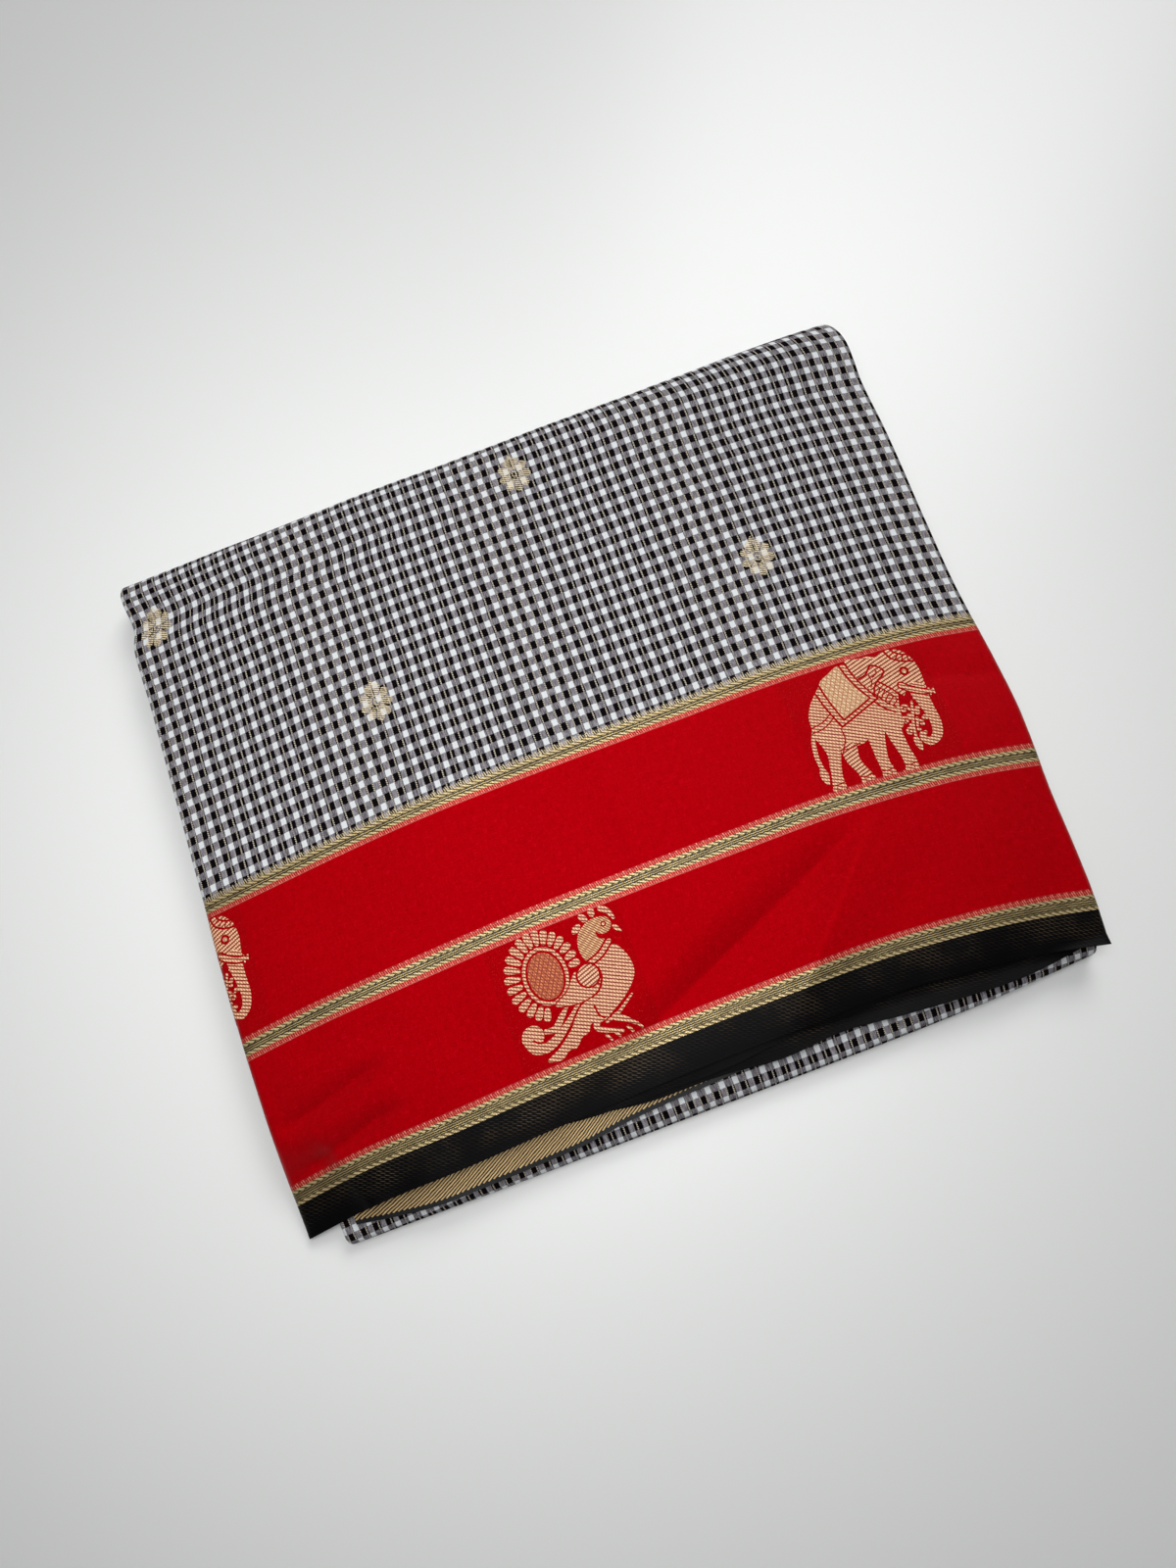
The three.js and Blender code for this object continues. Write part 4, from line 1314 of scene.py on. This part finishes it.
def edge_leaf(name, edge, z, follows, material, back_y=TIER_BACK_Y):
    """A flat leaf whose near edge follows a table. It follows the creases of the top leaf in
    part, more so the closer it lies below it, and also where the top leaf hides it."""
    x = np.arange(edge["x"][0], edge["x"][-1] + EDGE_STEP, EDGE_STEP)
    near_y = read(edge, "x", x, "y")
    share = np.linspace(0, 1, EDGE_ROWS)[:, None]
    y = near_y + (back_y - near_y) * share
    x = np.broadcast_to(x, y.shape)
    ripple = EDGE_RIPPLE * np.sin(x / EDGE_RIPPLE_REACH + z) * (1 - share) ** 2
    hidden = HIDDEN_FOLLOWED * ease((y - HIDDEN_FROM_Y) / HIDDEN_OVER)
    drop = np.maximum(follows, hidden) * crease_drop(x, y)
    drop = drop + np.maximum(CORNER_FOLLOWED, hidden) * corner_drop(x, y)
    outer = np.stack([x, y, z * fullness(x, y) + ripple - drop], -1)
    points, faces, sharp = wall(outer, outer - (0, 0, LEAF_THICKNESS))
    cloth = np.stack([x, y - near_y], -1).reshape(-1, 2)
    return add_piece(name, points, faces, material, np.tile(cloth, (2, 1)), sharp)


HIDDEN_BORDER_EDGE = table(
    "x y",
    (-78, -133.5),
    (-50, -136.5),
    (-29, -137.2),
    (7, -137.2),
    (35, -134.6),
    (61, -134.6),
    (89, -133.6),
    (114, -136.2),
    (136, -138.6),
)


def make_near_edge(black):
    second = edge_leaf(
        "second_border_leaf", SECOND_BORDER_EDGE, 16.1, 0.6, black
    )
    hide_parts("second_border_black")
    twill = edge_leaf(
        "twill_border_leaf", TWILL_BORDER_EDGE, 13.5, 0.2, twill_material()
    )
    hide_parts("inner_border_twill")
    hem = edge_leaf(
        "hidden_border_leaf", HIDDEN_BORDER_EDGE, 18.6, 0.9, black, HEM_BACK_Y
    )
    return second, twill, hem


FLOOR_SIZE = 3.0


def make_floor():
    pale = Shader("pale_table").finish(rgb(247, 248, 246), 0.32, 0.5)
    mesh = bpy.data.meshes.new("table_top")
    half = FLOOR_SIZE / 2
    corners = [(-half, -half, 0), (half, -half, 0), (half, half, 0), (-half, half, 0)]
    mesh.from_pydata(corners, [], [(0, 1, 2, 3)])
    mesh.materials.append(pale)
    floor = bpy.data.objects.new("table_top", mesh)
    floor.location.z = -0.0002
    bpy.context.scene.collection.objects.link(floor)


CAMERA_PLACE = (-1.4, -106.5, 500.0)
CAMERA_LOOK = (-0.00427657, 0.19650848, -0.9804928)
CAMERA_UP = (0.35012577, 0.91873172, 0.18260331)
SENSOR_WIDTH = 36.0
LENS = 27.045


def make_camera():
    data = bpy.data.cameras.new("camera")
    data.sensor_width = SENSOR_WIDTH
    data.lens = LENS
    data.clip_start = 0.01
    camera = bpy.data.objects.new("camera", data)
    back = -Vector(CAMERA_LOOK).normalized()
    right = Vector(CAMERA_UP).cross(back).normalized()
    up = back.cross(right)
    camera.matrix_world = Matrix.Translation(Vector(CAMERA_PLACE) * MM) @ Matrix(
        (right, up, back)
    ).transposed().to_4x4()
    bpy.context.scene.collection.objects.link(camera)
    bpy.context.scene.camera = camera


def add_area_light(name, place, target, size, power, spread=180.0):
    data = bpy.data.lights.new(name, "AREA")
    data.size = size
    data.energy = power
    data.spread = math.radians(spread)
    light = bpy.data.objects.new(name, data)
    light.location = place
    light.rotation_euler = (Vector(target) - Vector(place)).to_track_quat("-Z", "Y").to_euler()
    bpy.context.scene.collection.objects.link(light)


def make_lights():
    world = bpy.data.worlds.new("soft_room")
    world.use_nodes = True
    background = world.node_tree.nodes["Background"]
    background.inputs["Color"].default_value = rgb(240, 242, 244)
    background.inputs["Strength"].default_value = 0.2
    bpy.context.scene.world = world
    add_area_light("overhead", (-0.05, 0.02, 0.8), (-0.05, 0.01, 0), 0.35, 0.6, 65)
    add_area_light("window", (0.85, 1.1, 1.35), (0, 0, 0), 0.9, 16.5)
    scene = bpy.context.scene
    scene.view_settings.view_transform = "Standard"


make_camera()
make_lights()
make_floor()
checked = checked_material()
black = black_border_material()
top = make_top_leaf(black)
body, under = make_body(checked)
elephants, bird = make_border_motifs()
top_butis, under_butis = make_butis()
make_folded_layers(checked)
second, twill, hem = make_near_edge(black)

(UNDER_LEAF_STARTS - BODY_AT) * MM
(UNDER_LEAF_ENDS - UNDER_LEAF_STARTS) * MM
